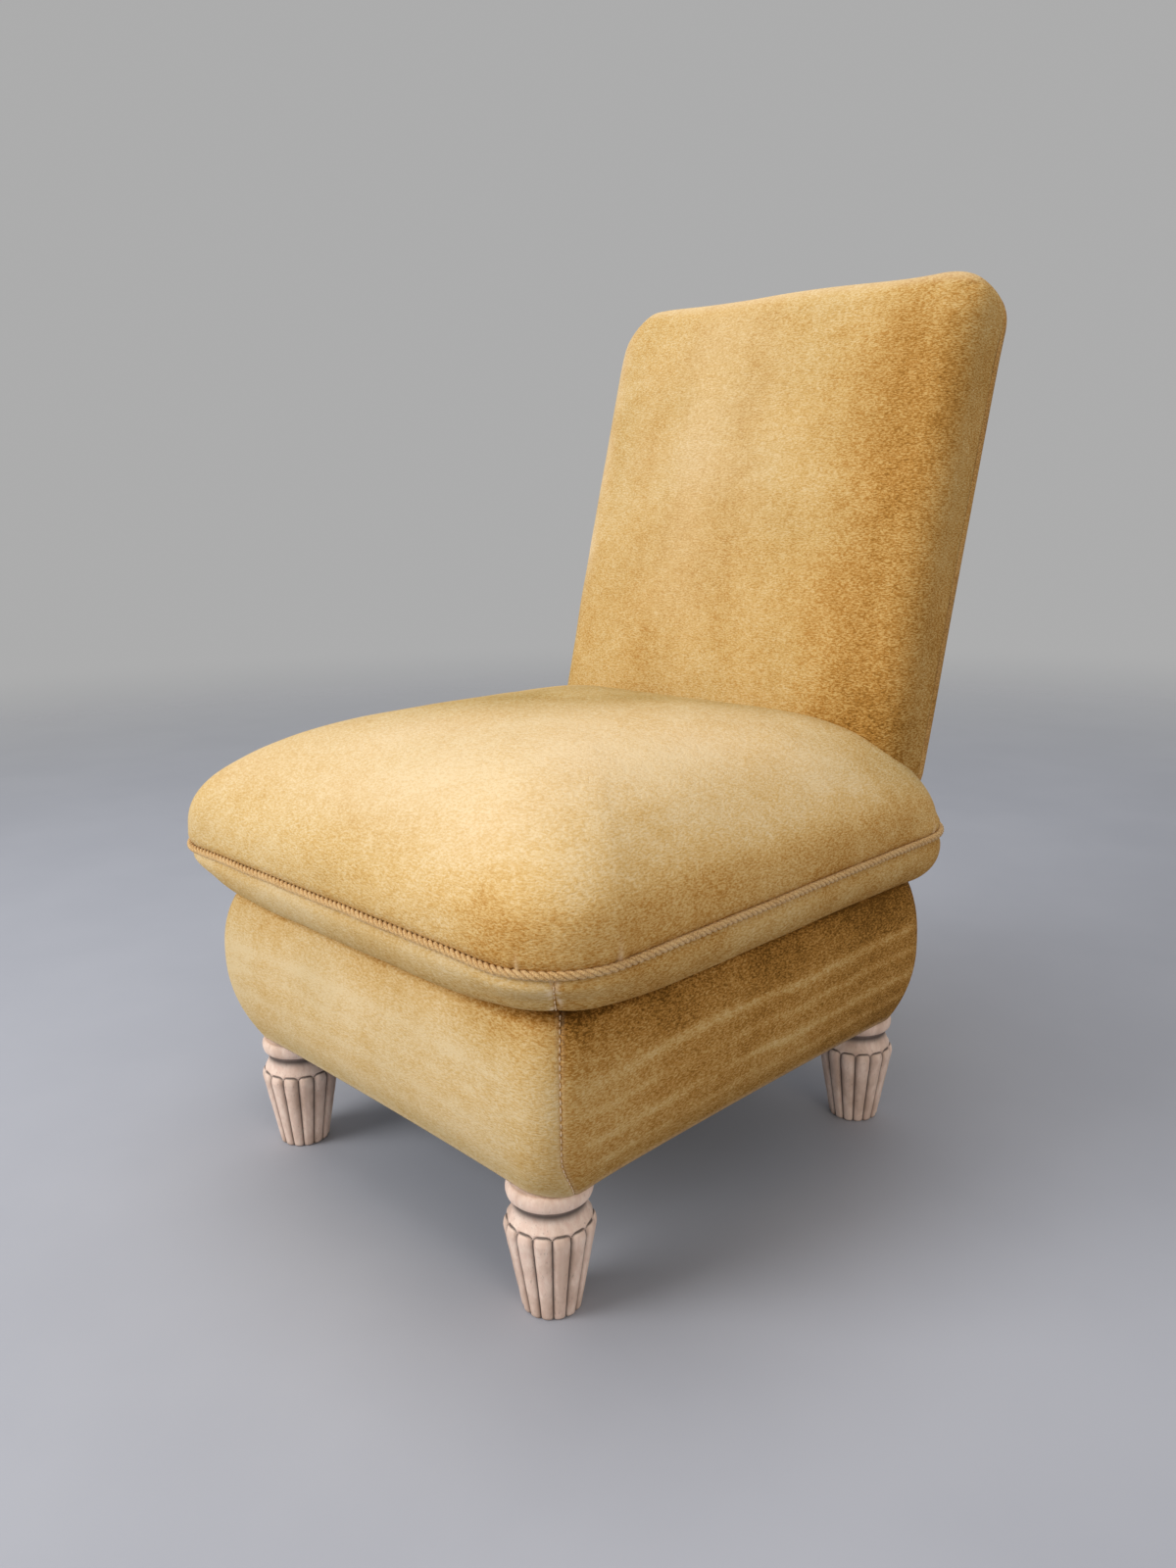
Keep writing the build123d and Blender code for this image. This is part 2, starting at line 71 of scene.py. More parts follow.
CREASE_Z = 261.0
BASE_BOTTOM_Z, BASE_BULGE_Z = 112.5, 194.0
BASE_HALF, BASE_FRONT, BASE_REAR = 242.0, 261.0, 246.0
BASE_DRAWS = {"left": 23.0, "right": 23.0, "front": 20.0, "rear": 5.0}
BASE_TOP_DRAW = 14.0
CREASE_TUCK = 6.0
BASE_REAR_TOP_DRAW = 6.0
BASE_FRONT_R, BASE_REAR_R = 34.0, 40.0

BACK_RAKE = math.radians(15.3)
BACK_FOOT = (0.0, 174.7, 389.0)
BACK_HALF = 224.8
BACK_TOP = (828.5 - BACK_FOOT[2]) / math.cos(BACK_RAKE)
BACK_THICK = 79.6
BACK_LOW = (CORD_Z + CORD_D - BACK_FOOT[2] + BACK_THICK * math.sin(BACK_RAKE)) / math.cos(BACK_RAKE)
BACK_EDGE_R, BACK_REAR_R, BACK_CORNER_R = 33.0, 11.5, 44.0
BACK_CROWN = 6.0
BACK_SEAM_DEPTH = 64.0
TOP_SLOPE = 0.03

SIDES = ("left", "front", "right", "rear")


def bump(value, middle, width):
    """Smooth hill of height 1."""
    return np.exp(-((value - middle) / width) ** 2)


def smooth(value, low, high):
    """0 below low, 1 above high, smooth between."""
    share = np.clip((value - low) / (high - low), 0, 1)
    return share * share * (3 - 2 * share)


def rolling(points, size, seed):
    """Smooth random height, about -1 to 1, with hills of the given size in millimetres."""
    offset = Vector((seed * 7.31, seed * 3.17, seed * 5.53))
    flat = points.reshape(-1, 3)
    values = [noise.noise(Vector(p) / size + offset) for p in flat]
    return np.array(values).reshape(points.shape[:-1])


def surface_normals(points, closed):
    """Outward normals of a grid: rows go up, columns run anticlockwise seen from above."""
    if closed:
        along = np.roll(points, -1, axis=1) - np.roll(points, 1, axis=1)
    else:
        along = np.gradient(points, axis=1)
    up = np.gradient(points, axis=0)
    across = np.cross(along, up)
    length = np.linalg.norm(across, axis=-1, keepdims=True)
    return across / np.maximum(length, 1e-9)


def outline(front_half, rear_half, front, rear, front_r, rear_r, corner_steps, side_steps):
    """Rounded trapezoid seen from above, anticlockwise, as four runs that meet in mid-corner."""
    corners = [(-rear_half, rear), (-front_half, -front), (front_half, -front), (rear_half, rear)]
    radii = (rear_r, front_r, front_r, rear_r)
    arcs = []
    for i, (corner, r) in enumerate(zip(corners, radii)):
        here = np.array(corner)
        before = np.array(corners[i - 1]) - here
        after = np.array(corners[(i + 1) % 4]) - here
        before /= np.linalg.norm(before)
        after /= np.linalg.norm(after)
        half_angle = math.acos(np.clip(before @ after, -1, 1)) / 2
        inward = (before + after) / np.linalg.norm(before + after)
        centre = here + inward * r / math.sin(half_angle)
        start = here + before * r / math.tan(half_angle) - centre
        turn = math.pi - 2 * half_angle
        arc = []
        for step in range(corner_steps + 1):
            a = turn * step / corner_steps
            arc.append(centre + (math.cos(a) * start[0] - math.sin(a) * start[1],
                                 math.sin(a) * start[0] + math.cos(a) * start[1]))
        arcs.append(np.array(arc))
    half = corner_steps // 2
    runs = []
    for i in range(4):
        arc, following = arcs[i], arcs[(i + 1) % 4]
        shares = np.linspace(0, 1, side_steps + 2)[1:-1, None]
        straight = arc[-1] + (following[0] - arc[-1]) * shares
        runs.append(np.vstack([arc[half:], straight, following[:half + 1]]))
    return runs


def ring(front_half, rear_half, front, rear, front_r, rear_r, corner_steps, side_steps):
    """The whole outline as one closed ring."""
    runs = outline(front_half, rear_half, front, rear, front_r, rear_r, corner_steps, side_steps)
    return np.vstack([run[:-1] for run in runs])


def at_height(plan_points, z):
    """Points of a plan lifted to a height, one for all or one each."""
    heights = np.broadcast_to(np.asarray(z, float), plan_points.shape[:-1])
    return np.concatenate([plan_points, heights[..., None]], axis=-1)


def line_length(points):
    return np.linalg.norm(np.diff(points, axis=0), axis=1).sum()


def along_row(points):
    """Distance along each row of a grid, from its first point."""
    steps = np.linalg.norm(np.diff(points, axis=1), axis=-1)
    return np.concatenate([np.zeros((len(points), 1)), np.cumsum(steps, axis=1)], axis=1)


def along(points, shares):
    """Points at the given shares of a line's length."""
    steps = np.linalg.norm(np.diff(points, axis=0), axis=1)
    far = np.concatenate([[0], np.cumsum(steps)])
    columns = [np.interp(shares * far[-1], far, points[:, i]) for i in range(points.shape[1])]
    return np.stack(columns, axis=1)


def crowded(count, crowd):
    """Shares from 0 to 1 that lie closer together at both ends."""
    even = np.linspace(0, 1, count)
    return even - crowd * np.sin(2 * math.pi * even) / (2 * math.pi)


PANEL_COLUMNS, PANEL_CROWD = 210, 0.86
PANEL_CORNER_STEPS, PANEL_SIDE_STEPS = 40, 60
PANEL_SHARES = crowded(PANEL_COLUMNS, PANEL_CROWD)


def panel_row(sizes, number, z, shifts=(0, 0, 0, 0)):
    """One row of a panel between two corner seams; shifts move the seams along the outline."""
    runs = outline(*sizes, PANEL_CORNER_STEPS, PANEL_SIDE_STEPS)
    lengths = [line_length(run) for run in runs]
    once = np.vstack([run[:-1] for run in runs])
    thrice = np.vstack([once, once, once, once[:1]])
    total = sum(lengths)
    first = total + sum(lengths[:number]) + shifts[number]
    last = total + sum(lengths[:number + 1]) + shifts[(number + 1) % 4]
    return at_height(along(thrice, (first + (last - first) * PANEL_SHARES) / (3 * total)), z)


def add_piece(name, points, faces, material, tone=None):
    """Object from points in millimetres, with tones on its points if given, painted shade among them; it
    rides on the chair.
    """
    points = np.asarray(points).reshape(-1, 3) + (0, FEET_MIDDLE_Y, 0)
    mesh = bpy.data.meshes.new(name)
    mesh.from_pydata([tuple(p) for p in points * MM], [], faces)
    mesh.update()
    if tone is not None:
        layer = mesh.color_attributes.new("tone", "FLOAT_COLOR", "POINT")
        colours = np.ones((len(points), 4), dtype=np.float32)
        colours[:, :3] = tone.reshape(-1, 3)
        layer.data.foreach_set("color", colours.ravel())
    mesh.shade_smooth()
    mesh.materials.append(material)
    piece = bpy.data.objects.new(name, mesh)
    bpy.context.scene.collection.objects.link(piece)
    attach(piece, "root")
    return piece


def grid_faces(rows, columns, rows_close, columns_close):
    """Quads between the neighbours in a grid; a closed direction runs on from its last to its first."""
    faces = []
    for i in range(rows if rows_close else rows - 1):
        for j in range(columns if columns_close else columns - 1):
            a, b = (i + 1) % rows, (j + 1) % columns
            faces.append((i * columns + j, i * columns + b, a * columns + b, a * columns + j))
    return faces


def make_panel(name, grid, closed, material, tone, capped=False):
    """Piece from a grid whose rows go up; closed rows run round, and caps fill the first and last one."""
    rows, columns = grid.shape[:2]
    faces = grid_faces(rows, columns, False, closed)
    if capped:
        faces.append(tuple(reversed(range(columns))))
        faces.append(tuple(range((rows - 1) * columns, rows * columns)))
    return add_piece(name, grid, faces, material, tone)


def thicken(piece, thickness):
    """Gives an open sheet its thickness, inwards."""
    modifier = piece.modifiers.new("thickness", "SOLIDIFY")
    modifier.thickness = thickness * MM
    modifier.offset = -1
    modifier.use_even_offset = False
    apply_modifiers(piece)


def apply_modifiers(piece):
    """Replaces the mesh by what its modifiers make of it."""
    graph = bpy.context.evaluated_depsgraph_get()
    made = bpy.data.meshes.new_from_object(piece.evaluated_get(graph), preserve_all_data_layers=True,
                                           depsgraph=graph)
    old = piece.data
    piece.modifiers.clear()
    piece.data = made
    made.name = piece.name
    bpy.data.meshes.remove(old)


# Materials, made of nodes that read the object's own coordinates and the tones on its points

# Colours of the velvet from pile turned towards the light to pile turned away and painted shade
NAP_AND_SHADE_ENDS = ((0.81, 0.625, 0.36, 1), (0.165, 0.074, 0.011, 1))
NAP_AND_SHADE_STOPS = ((0.3, (0.68, 0.445, 0.17, 1)), (0.6, (0.49, 0.238, 0.052, 1)))
OLIVE_TINT = (0.64, 0.645, 0.53)
RUBBED_PILE = (0.91, 0.72, 0.49)


def new_material(name):
    """A node material, its tree and its shader."""
    material = bpy.data.materials.new(name)
    material.use_nodes = True
    tree = material.node_tree
    return material, tree, tree.nodes["Principled BSDF"]


def feed(tree, node, values):
    """Sets a node's inputs, each linked to a socket or given a number, vector or colour."""
    for key, value in values.items():
        socket = node.inputs[key]
        if isinstance(value, bpy.types.NodeSocket):
            tree.links.new(value, socket)
        elif socket.type == "RGBA":
            socket.default_value = (*value, 1)
        else:
            socket.default_value = value


def add(tree, kind, values, **settings):
    """Adds a node with its settings and inputs."""
    node = tree.nodes.new(kind)
    for key, value in settings.items():
        setattr(node, key, value)
    feed(tree, node, values)
    return node


def object_space(tree, scale=(1, 1, 1)):
    """The object's own coordinates, stretched."""
    where = add(tree, "ShaderNodeTexCoord", {}).outputs["Object"]
    return add(tree, "ShaderNodeMapping", {"Vector": where, "Scale": scale}).outputs["Vector"]


def point_tones(tree):
    """The three tones on the object's points."""
    tone = add(tree, "ShaderNodeVertexColor", {}, layer_name="tone").outputs["Color"]
    parts = add(tree, "ShaderNodeSeparateColor", {"Color": tone})
    return [parts.outputs[key] for key in ("Red", "Green", "Blue")]


def noise_node(tree, vector, scale, detail, roughness, distortion=0.0):
    values = {"Vector": vector, "Scale": scale, "Detail": detail, "Roughness": roughness,
              "Distortion": distortion}
    return add(tree, "ShaderNodeTexNoise", values).outputs["Fac"]


def remap(tree, value, low=0.3, high=0.7, to_low=0, to_high=1):
    """Smooth step from one range of values to another."""
    values = {"Value": value, "From Min": low, "From Max": high, "To Min": to_low, "To Max": to_high}
    return add(tree, "ShaderNodeMapRange", values, interpolation_type="SMOOTHSTEP").outputs["Result"]


def mix(tree, factor, first, second, blend="MIX"):
    """Mixes two colours; 6 and 7 are the node's colour inputs."""
    values = {0: factor, 6: first, 7: second}
    return add(tree, "ShaderNodeMix", values, data_type="RGBA", blend_type=blend).outputs[2]


def maths(tree, operation, first, second):
    return add(tree, "ShaderNodeMath", {0: first, 1: second}, operation=operation).outputs[0]


def bump_node(tree, height, strength, distance):
    values = {"Height": height, "Strength": strength, "Distance": distance}
    return add(tree, "ShaderNodeBump", values).outputs["Normal"]


def velvet_material():
    """Cut-pile velvet: straw where the pile lies towards the light, ochre brown where it turns away and
    where shade is painted.
    """
    material, tree, shader = new_material("velvet")
    nap_and_shade, olive, rub = point_tones(tree)
    space = object_space(tree)
    clouds = noise_node(tree, space, 9.0, 4.0, 0.6, 0.4)
    flecks = noise_node(tree, space, 75.0, 3.0, 0.65)
    specks = noise_node(tree, space, 420.0, 2.0, 0.6)
    pile = noise_node(tree, object_space(tree, (0.36, 0.36, 1)), 850.0, 2.0, 0.7, 0.3)
    lively = maths(tree, "ADD", 0.5, maths(tree, "MULTIPLY", nap_and_shade, 0.85))
    lively = maths(tree, "ADD", lively, maths(tree, "MULTIPLY", olive, 0.35))
    ruffled = maths(tree, "MULTIPLY", remap(tree, pile, 0.3, 0.7, -0.22, 0.22), lively)
    turned = nap_and_shade
    for change in (remap(tree, clouds, 0.3, 0.7, -0.06, 0.06), remap(tree, flecks, 0.3, 0.7, -0.05, 0.05),
                   ruffled, remap(tree, specks, 0.64, 0.76, 0, 0.16)):
        turned = maths(tree, "ADD", turned, change)
    ramp = add(tree, "ShaderNodeValToRGB", {"Fac": turned})
    stops = ramp.color_ramp.elements
    for stop, colour in zip(stops, NAP_AND_SHADE_ENDS):
        stop.color = colour
    for position, colour in NAP_AND_SHADE_STOPS:
        stops.new(position).color = colour
    colour = mix(tree, olive, ramp.outputs["Color"], OLIVE_TINT, "MULTIPLY")
    colour = mix(tree, maths(tree, "MULTIPLY", rub, 0.85), colour, RUBBED_PILE)
    height = mix(tree, 0.3, pile, flecks)
    feed(tree, shader, {"Base Color": colour, "Normal": bump_node(tree, height, 0.7, 0.0016),
                        "Roughness": 0.92, "Specular IOR Level": 0.06, "Sheen Weight": 0.03,
                        "Sheen Roughness": 0.42, "Sheen Tint": (1.0, 0.86, 0.58)})
    return material


def cord_material():
    """Golden brown furnishing cord of fine yarns, a little dirty."""
    material, tree, shader = new_material("cord")
    space = object_space(tree)
    yarn = noise_node(tree, space, 900.0, 2.0, 0.6)
    dirt = noise_node(tree, space, 30.0, 3.0, 0.6)
    colour = mix(tree, remap(tree, yarn), (0.42, 0.235, 0.075), (0.76, 0.50, 0.22))
    colour = mix(tree, remap(tree, dirt, 0.4, 0.75, 0, 0.4), colour, (0.74, 0.53, 0.27))
    feed(tree, shader, {"Base Color": colour, "Normal": bump_node(tree, yarn, 0.5, 0.0006),
                        "Roughness": 0.8, "Sheen Weight": 0.15})
    return material


def thread_material():
    """Pale waxed sewing thread."""
    material, tree, shader = new_material("thread")
    ply = noise_node(tree, object_space(tree), 700.0, 2.0, 0.6)
    colour = mix(tree, remap(tree, ply), (0.62, 0.42, 0.22), (0.92, 0.72, 0.50))
    feed(tree, shader, {"Base Color": colour, "Normal": bump_node(tree, ply, 0.4, 0.0003),
                        "Roughness": 0.7})
    return material


def limed_wood_material():
    """Pale limed wood: pinkish beige, darker clouds and pores, dark wax left in the hollows, and painted
    shade.
    """
    material, tree, shader = new_material("limed_wood")
    wax_and_shade, edge, _ = point_tones(tree)
    streaks = noise_node(tree, object_space(tree, (1, 1, 0.45)), 230.0, 4.0, 0.65, 0.3)
    pores = noise_node(tree, object_space(tree, (1, 1, 0.35)), 620.0, 2.0, 0.5)
    clouds = noise_node(tree, object_space(tree, (1, 1, 0.6)), 45.0, 3.0, 0.6)
    colour = mix(tree, remap(tree, streaks), (0.85, 0.61, 0.50), (0.97, 0.77, 0.65))
    colour = mix(tree, remap(tree, clouds, 0.40, 0.66, 0, 0.8), colour, (0.62, 0.43, 0.33))
    colour = mix(tree, remap(tree, pores, 0.62, 0.76, 0, 0.45), colour, (0.30, 0.21, 0.17))
    colour = mix(tree, maths(tree, "MULTIPLY", edge, 0.4), colour, (0.92, 0.72, 0.60))
    # Near black for the wax in the hollows and for painted shade.
    colour = mix(tree, wax_and_shade, colour, (0.045, 0.034, 0.03))
    feed(tree, shader, {"Base Color": colour, "Normal": bump_node(tree, streaks, 0.25, 0.0006),
                        "Roughness": remap(tree, streaks, 0.3, 0.7, 0.5, 0.66),
                        "Specular IOR Level": 0.35})
    return material


def frame_wood_material():
    """Plain sawn beech of the hidden frame."""
    material, tree, shader = new_material("frame_wood")
    grain = noise_node(tree, object_space(tree, (0.2, 1, 1)), 120.0, 4.0, 0.6, 0.4)
    rays = noise_node(tree, object_space(tree, (0.3, 1, 1)), 800.0, 1.0, 0.5)
    colour = mix(tree, remap(tree, grain), (0.46, 0.31, 0.18), (0.64, 0.47, 0.30))
    colour = mix(tree, remap(tree, rays, 0.6, 0.75, 0, 0.5), colour, (0.34, 0.21, 0.12))
    feed(tree, shader, {"Base Color": colour, "Normal": bump_node(tree, grain, 0.2, 0.0005),
                        "Roughness": 0.7})
    return material


def woven_material(name, light, dark, threads, roughness):
    """Plain weave of crossing threads."""
    material, tree, shader = new_material(name)
    space = object_space(tree)
    yarns = {"Vector": space, "Scale": threads, "Distortion": 1.2, "Detail": 2.0}
    warp, weft = (add(tree, "ShaderNodeTexWave", yarns, bands_direction=axis) for axis in "XY")
    weave = maths(tree, "MULTIPLY", warp.outputs["Fac"], weft.outputs["Fac"])
    slubs = noise_node(tree, space, 60.0, 3.0, 0.6)
    colour = mix(tree, weave, dark, light)
    colour = mix(tree, remap(tree, slubs, 0.4, 0.8, 0, 0.5), colour, dark)
    feed(tree, shader, {"Base Color": colour, "Normal": bump_node(tree, weave, 0.4, 0.0008),
                        "Roughness": roughness})
    return material


def steel_material():
    """Dull steel of springs and bolts, a little rusty."""
    material, tree, shader = new_material("steel")
    stain = noise_node(tree, object_space(tree), 140.0, 4.0, 0.6)
    colour = mix(tree, remap(tree, stain, 0.5, 0.75, 0, 0.7), (0.46, 0.46, 0.47), (0.24, 0.13, 0.07))
    feed(tree, shader, {"Base Color": colour, "Metallic": 0.9,
                        "Roughness": remap(tree, stain, 0.3, 0.75, 0.35, 0.7)})
    return material


VELVET = velvet_material()
CORD = cord_material()
THREAD = thread_material()
LIMED_WOOD = limed_wood_material()
FRAME_WOOD = frame_wood_material()
JUTE = woven_material("jute", (0.56, 0.44, 0.27), (0.30, 0.22, 0.12), 90.0, 0.9)
LINING = woven_material("lining", (0.030, 0.029, 0.031), (0.012, 0.012, 0.013), 220.0, 0.85)
STEEL = steel_material()

SLOT_MATERIALS = {"frame_wood": FRAME_WOOD, "webbing": JUTE, "stuffing": JUTE, "steel": STEEL,
                  "cord": CORD, "dust_cloth": LINING, "limed_wood": LIMED_WOOD, "velvet": VELVET}
node_slots = {part["node"]: part["material_slot"] for part in frame["record"]["subparts"]}
for node_name, node in frame["nodes"].items():
    node.data.materials.clear()
    node.data.materials.append(SLOT_MATERIALS[node_slots[node_name]])


def tones(first, second, third):
    """Three tones of each point: pile turned away with painted shade, olive and rubbed on velvet; dark
    wax with painted shade, and edge, on wood.
    """
    return np.stack(np.broadcast_arrays(first, second, third), axis=-1).astype(float)


# Seat cushion: crowned top panel, drawn in at the corded seam, with short pleats at the corners

SEAM_TUCK = 0.9
SEAM_TUCK_HEIGHT = 4.0
SEAT_ROWS, SEAT_ROW_CROWD = 104, 1.5
SEAT_CORNER_STEPS, SEAT_SIDE_STEPS = 56, 170
SEAM_PUCKERS = 150
# Pleats of the right half, mirrored on the left: place seen from above, depth and length up the crown
PLEATS = (((227, -276), 1.8, 10.0), ((267, -220), 1.1, 13.0), ((252, 196), 1.1, 13.0))


def seat_plan(scale, draw):
    """Seat outline drawn in and scaled about its middle, with rounder corners as it shrinks."""
    middle = (SEAT_REAR - SEAT_FRONT) / 2
    half_y = (SEAT_FRONT + SEAT_REAR) / 2 * scale - draw
    front_r, rear_r = (r * scale * (1 + 0.5 * (1 - scale)) - draw for r in (SEAT_FRONT_R, SEAT_REAR_R))
    return (SEAT_FRONT_HALF * scale - draw, SEAT_REAR_HALF * scale - draw,
            half_y - middle, half_y + middle, front_r, rear_r)


def corner_weights(grid):
    """How near a point is, seen from above, to a front and to a rear corner of the seat."""
    x, y = np.abs(grid[..., 0]), grid[..., 1]
    front = np.exp(-((x - SEAT_FRONT_HALF) ** 2 + (y + SEAT_FRONT) ** 2) / 75.0 ** 2)
    rear = np.exp(-((x - SEAT_REAR_HALF) ** 2 + (y - SEAT_REAR) ** 2) / 80.0 ** 2)
    return front, rear


def seat_cushion():
    """The crowned seat, fuller at the front corners, paler where it is rubbed; painted shade makes it
    olive and darker at the rear by the back, and darker on its right side.
    """
    turns = np.radians(np.linspace(0, 89.6, 600))
    curve = np.stack([np.cos(turns) ** (2 / CROWN_POWER) * SEAT_FRONT, np.sin(turns) * CROWN], axis=1)
    rows = []
    for reach, height in along(curve, np.linspace(0, 1, SEAT_ROWS) ** SEAT_ROW_CROWD):
        draw = SEAM_TUCK * (1 - smooth(height, 0, SEAM_TUCK_HEIGHT))
        bulge = SEAT_BULGE * smooth(height, -3, 11) * (1 - smooth(height, 14, 75))
        draw -= bulge + 2.0 * bump(height, 40, 25)
        scale = reach / SEAT_FRONT
        sizes = seat_plan(scale, min(draw, 0.4 * SEAT_FRONT_R * scale))
        plan = ring(*sizes, SEAT_CORNER_STEPS, SEAT_SIDE_STEPS)
        rows.append(at_height(plan, CORD_Z + height))
    grid = np.array(rows)
    normals = surface_normals(grid, True)
    x, y, height = grid[..., 0], grid[..., 1], grid[..., 2] - CORD_Z
    front, rear = corner_weights(grid)
    rise = front * (9.0 * bump(height, 55, 34) - 1.0 * bump(height, 14, 14))
    rise -= 5.0 * rear * smooth(height, 2, 20) * (1 - smooth(height, 35, 90))
    left_edge = smooth(-x, 90, 200) * smooth(height, 50, 95)
    rise += left_edge * (3.0 * smooth(y, -60, 90) - 1.8 * bump(y, -140, 90))
    uneven = 1.6 * rolling(grid, 105.0, 1) * smooth(height, 4, 40)
    rise += uneven + 0.5 * rolling(grid, 34.0, 2) * smooth(height, 2, 16)
    around = np.arctan2(y, x)
    rise += np.cos(around * SEAM_PUCKERS) * 0.25 * np.exp(-height / 5.0)
    pale = np.zeros_like(x)
    for corner_x in (-1, 1):
        for spot, depth, length in PLEATS:
            angle = math.atan2(spot[1], spot[0] * corner_x)
            across = (around - angle) * math.hypot(*spot) * corner_x
            fade = np.exp(-(height / length) ** 2)
            fold = 0.7 * bump(across, 2.8, 2.0) + 0.4 * bump(across, -4.0, 3.0) - bump(across, 0, 1.5)
            rise += depth * fade * fold
            pale += fade * bump(across, 2.4, 1.4)
    grid = grid + normals * rise[..., None]
    # Painted shade, partly pile turned away: the sides turned to the right, away from the key light, are
    # darker.
    right_side = smooth(x, 60, 250) * smooth(1 - normals[..., 2], 0.2, 0.6)
    # Painted shade of the back over the seat's rear, darker and olive.
    back_shade = smooth(y - 0.9 * x, -150, 75) * (1 - right_side) * smooth(x, -250, -60)
    front_edge = smooth(-y, 215, 265) * (1 - right_side)
    nap_and_shade = 0.13 + 0.28 * right_side + 0.07 * front_edge + 0.09 * back_shade
    nap_and_shade += 0.07 * rolling(grid, 70.0, 5) + 0.05 * bump(height, 6, 8)
    olive = 0.85 * back_shade * (1 + 0.3 * rolling(grid, 60.0, 6))
    olive += 0.2 * (1 - smooth(x, 0, 170)) * (1 - back_shade)
    olive += 0.13 * np.exp(-height / 12.0)
    rub = 0.28 * (1 - back_shade) * (1 - smooth(x, 150, 240)) * smooth(height, 40, 85)
    rub *= 1 + 0.6 * rolling(grid, 80.0, 7)
    tone = tones(nap_and_shade, np.clip(olive, 0, 1), np.clip(rub + 0.7 * pale, 0, 1))
    cushion = make_panel("seat_cushion", grid, True, VELVET, tone, capped=True)
    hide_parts("seat_top_cover", "seat_stuffing")
    return cushion


# Seat border under the cord and bulging base, each in four panels seamed at the corners

SEAM_DEPTH = 1.1
SEAM_WIDTH = 1.5
PUCKER_PITCH = 8.5
COVER_T = 3.0
LIP_ROWS = 38
LIP_TURN_IN, LIP_TURN_UP = 16.0, 0.4
# Pile turned away on each side of the lip; the right side's higher value is partly painted shade on the
# side away from the key light.
LIP_NAP_AND_SHADE = {"front": 0.16, "right": 0.4, "left": 0.2, "rear": 0.3}


def sew_ends(grid, normals):
    """Draws a panel's two end seams in, with small puckers beside the stitches."""
    run = along_row(grid)
    gap = np.minimum(run, run[:, -1:] - run)
    height = grid[..., 2]
    pucker = 0.3 * np.cos(height * 2 * math.pi / PUCKER_PITCH) * np.exp(-gap / 5.0)
    drawn = SEAM_DEPTH * np.exp(-(gap / SEAM_WIDTH) ** 2) + 0.7 * np.exp(-(gap / 7.0) ** 2)
    return grid + normals * (pucker - drawn)[..., None], gap


def seat_border(side, number):
    """The lip under the cord on one side; gives back its first end, where the stitches go."""
    turns = np.radians(np.linspace(90, 0, 200))
    drops = (CORD_Z - CREASE_Z) * np.sin(turns) ** (2 / LIP_POWER)
    draws = LIP_DRAW * (1 - np.maximum(np.cos(turns), 0) ** (2 / LIP_POWER))
    rows = [panel_row(seat_plan(1, LIP_DRAW + LIP_TURN_IN), number, CREASE_Z + LIP_TURN_UP)]
    for drop, draw in along(np.stack([drops, draws], axis=1), np.linspace(0, 1, LIP_ROWS)):
        draw += SEAM_TUCK * (1 - smooth(drop, 0, SEAM_TUCK_HEIGHT))
        draw -= SEAT_BULGE * 0.8 * smooth(drop, 0, 12) * (1 - smooth(drop, 12, 42))
        rows.append(panel_row(seat_plan(1, draw), number, CORD_Z - drop))
    grid = np.array(rows)
    normals = surface_normals(grid, False)
    drop = CORD_Z - grid[..., 2]
    low = smooth(drop, 10, 45)
    front, rear = corner_weights(grid)
    fuller = 0.8 * rolling(grid, 60.0, 11) + (5.0 * rear - 14.0 * front) * smooth(drop, 4, 34)
    grid = grid + normals * fuller[..., None]
    grid, gap = sew_ends(grid, normals)
    worn = rolling(grid, 7.0, 22)
    nap_and_shade = LIP_NAP_AND_SHADE[side] + 0.12 * rolling(grid, 45.0, 21) + 0.16 * low + 0.3 * np.exp(-gap / 0.9)
    olive = 0.14 + 0.24 * low
    rub = np.clip(0.8 * bump(gap, 3.0, 2.2) * smooth(worn, -0.1, 0.5), 0, 1)
    piece = make_panel("seat_border_" + side, grid, False, VELVET, tones(nap_and_shade, olive, rub))
    thicken(piece, COVER_T)
    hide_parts("seat_" + side + "_border")
    return grid[1:, 0], normals[1:, 0]


# Lines of crushed pile along the base: height, width and strength
CRUSHED_LINES = ((214.0, 4.6, 1.0), (192.0, 3.4, 0.6), (167.0, 4.4, 0.9), (143.0, 3.8, 0.5))
BASE_ROWS = 72
BASE_TURN_IN, BASE_TURN_UP = 14.0, 2.0
CREASE_TURN_IN, CREASE_TURN_DOWN = 10.0, 0.8
# How far the lower edge arches up, how far the pile is turned away, with painted shade on the right side,
# and how much the crushed lines show
BASE_ARCH = {"front": 3.2, "right": 2.6, "left": 3.0, "rear": 2.0}
BASE_NAP_AND_SHADE = {"front": 0.13, "right": 0.6, "left": 0.36, "rear": 0.34}
CRUSH_STRENGTH = {"front": 0.08, "right": 0.27, "left": 0.2, "rear": 0.16}
STITCH_PITCH = 6.0
STITCH_R = 0.55
STITCH_SIDES = 7
STITCH_FATNESS = np.array([0.35, 0.8, 1, 1, 1, 0.8, 0.35])


def base_level(z):
    """Outline of the bulging base at a height, as ring takes it."""
    if z < BASE_BULGE_Z:
        share = ((BASE_BULGE_Z - z) / (BASE_BULGE_Z - BASE_BOTTOM_Z)) ** 2.2
        draws = {side: draw * share for side, draw in BASE_DRAWS.items()}
    else:
        share = ((z - BASE_BULGE_Z) / (CREASE_Z - BASE_BULGE_Z)) ** 2.5
        tuck = CREASE_TUCK * smooth(z, CREASE_Z - 9, CREASE_Z)
        draws = {side: BASE_TOP_DRAW * share + tuck for side in SIDES}
        draws["rear"] = BASE_REAR_TOP_DRAW * share
    half = BASE_HALF - draws["left"]
    return half, half, BASE_FRONT - draws["front"], BASE_REAR - draws["rear"], BASE_FRONT_R, BASE_REAR_R


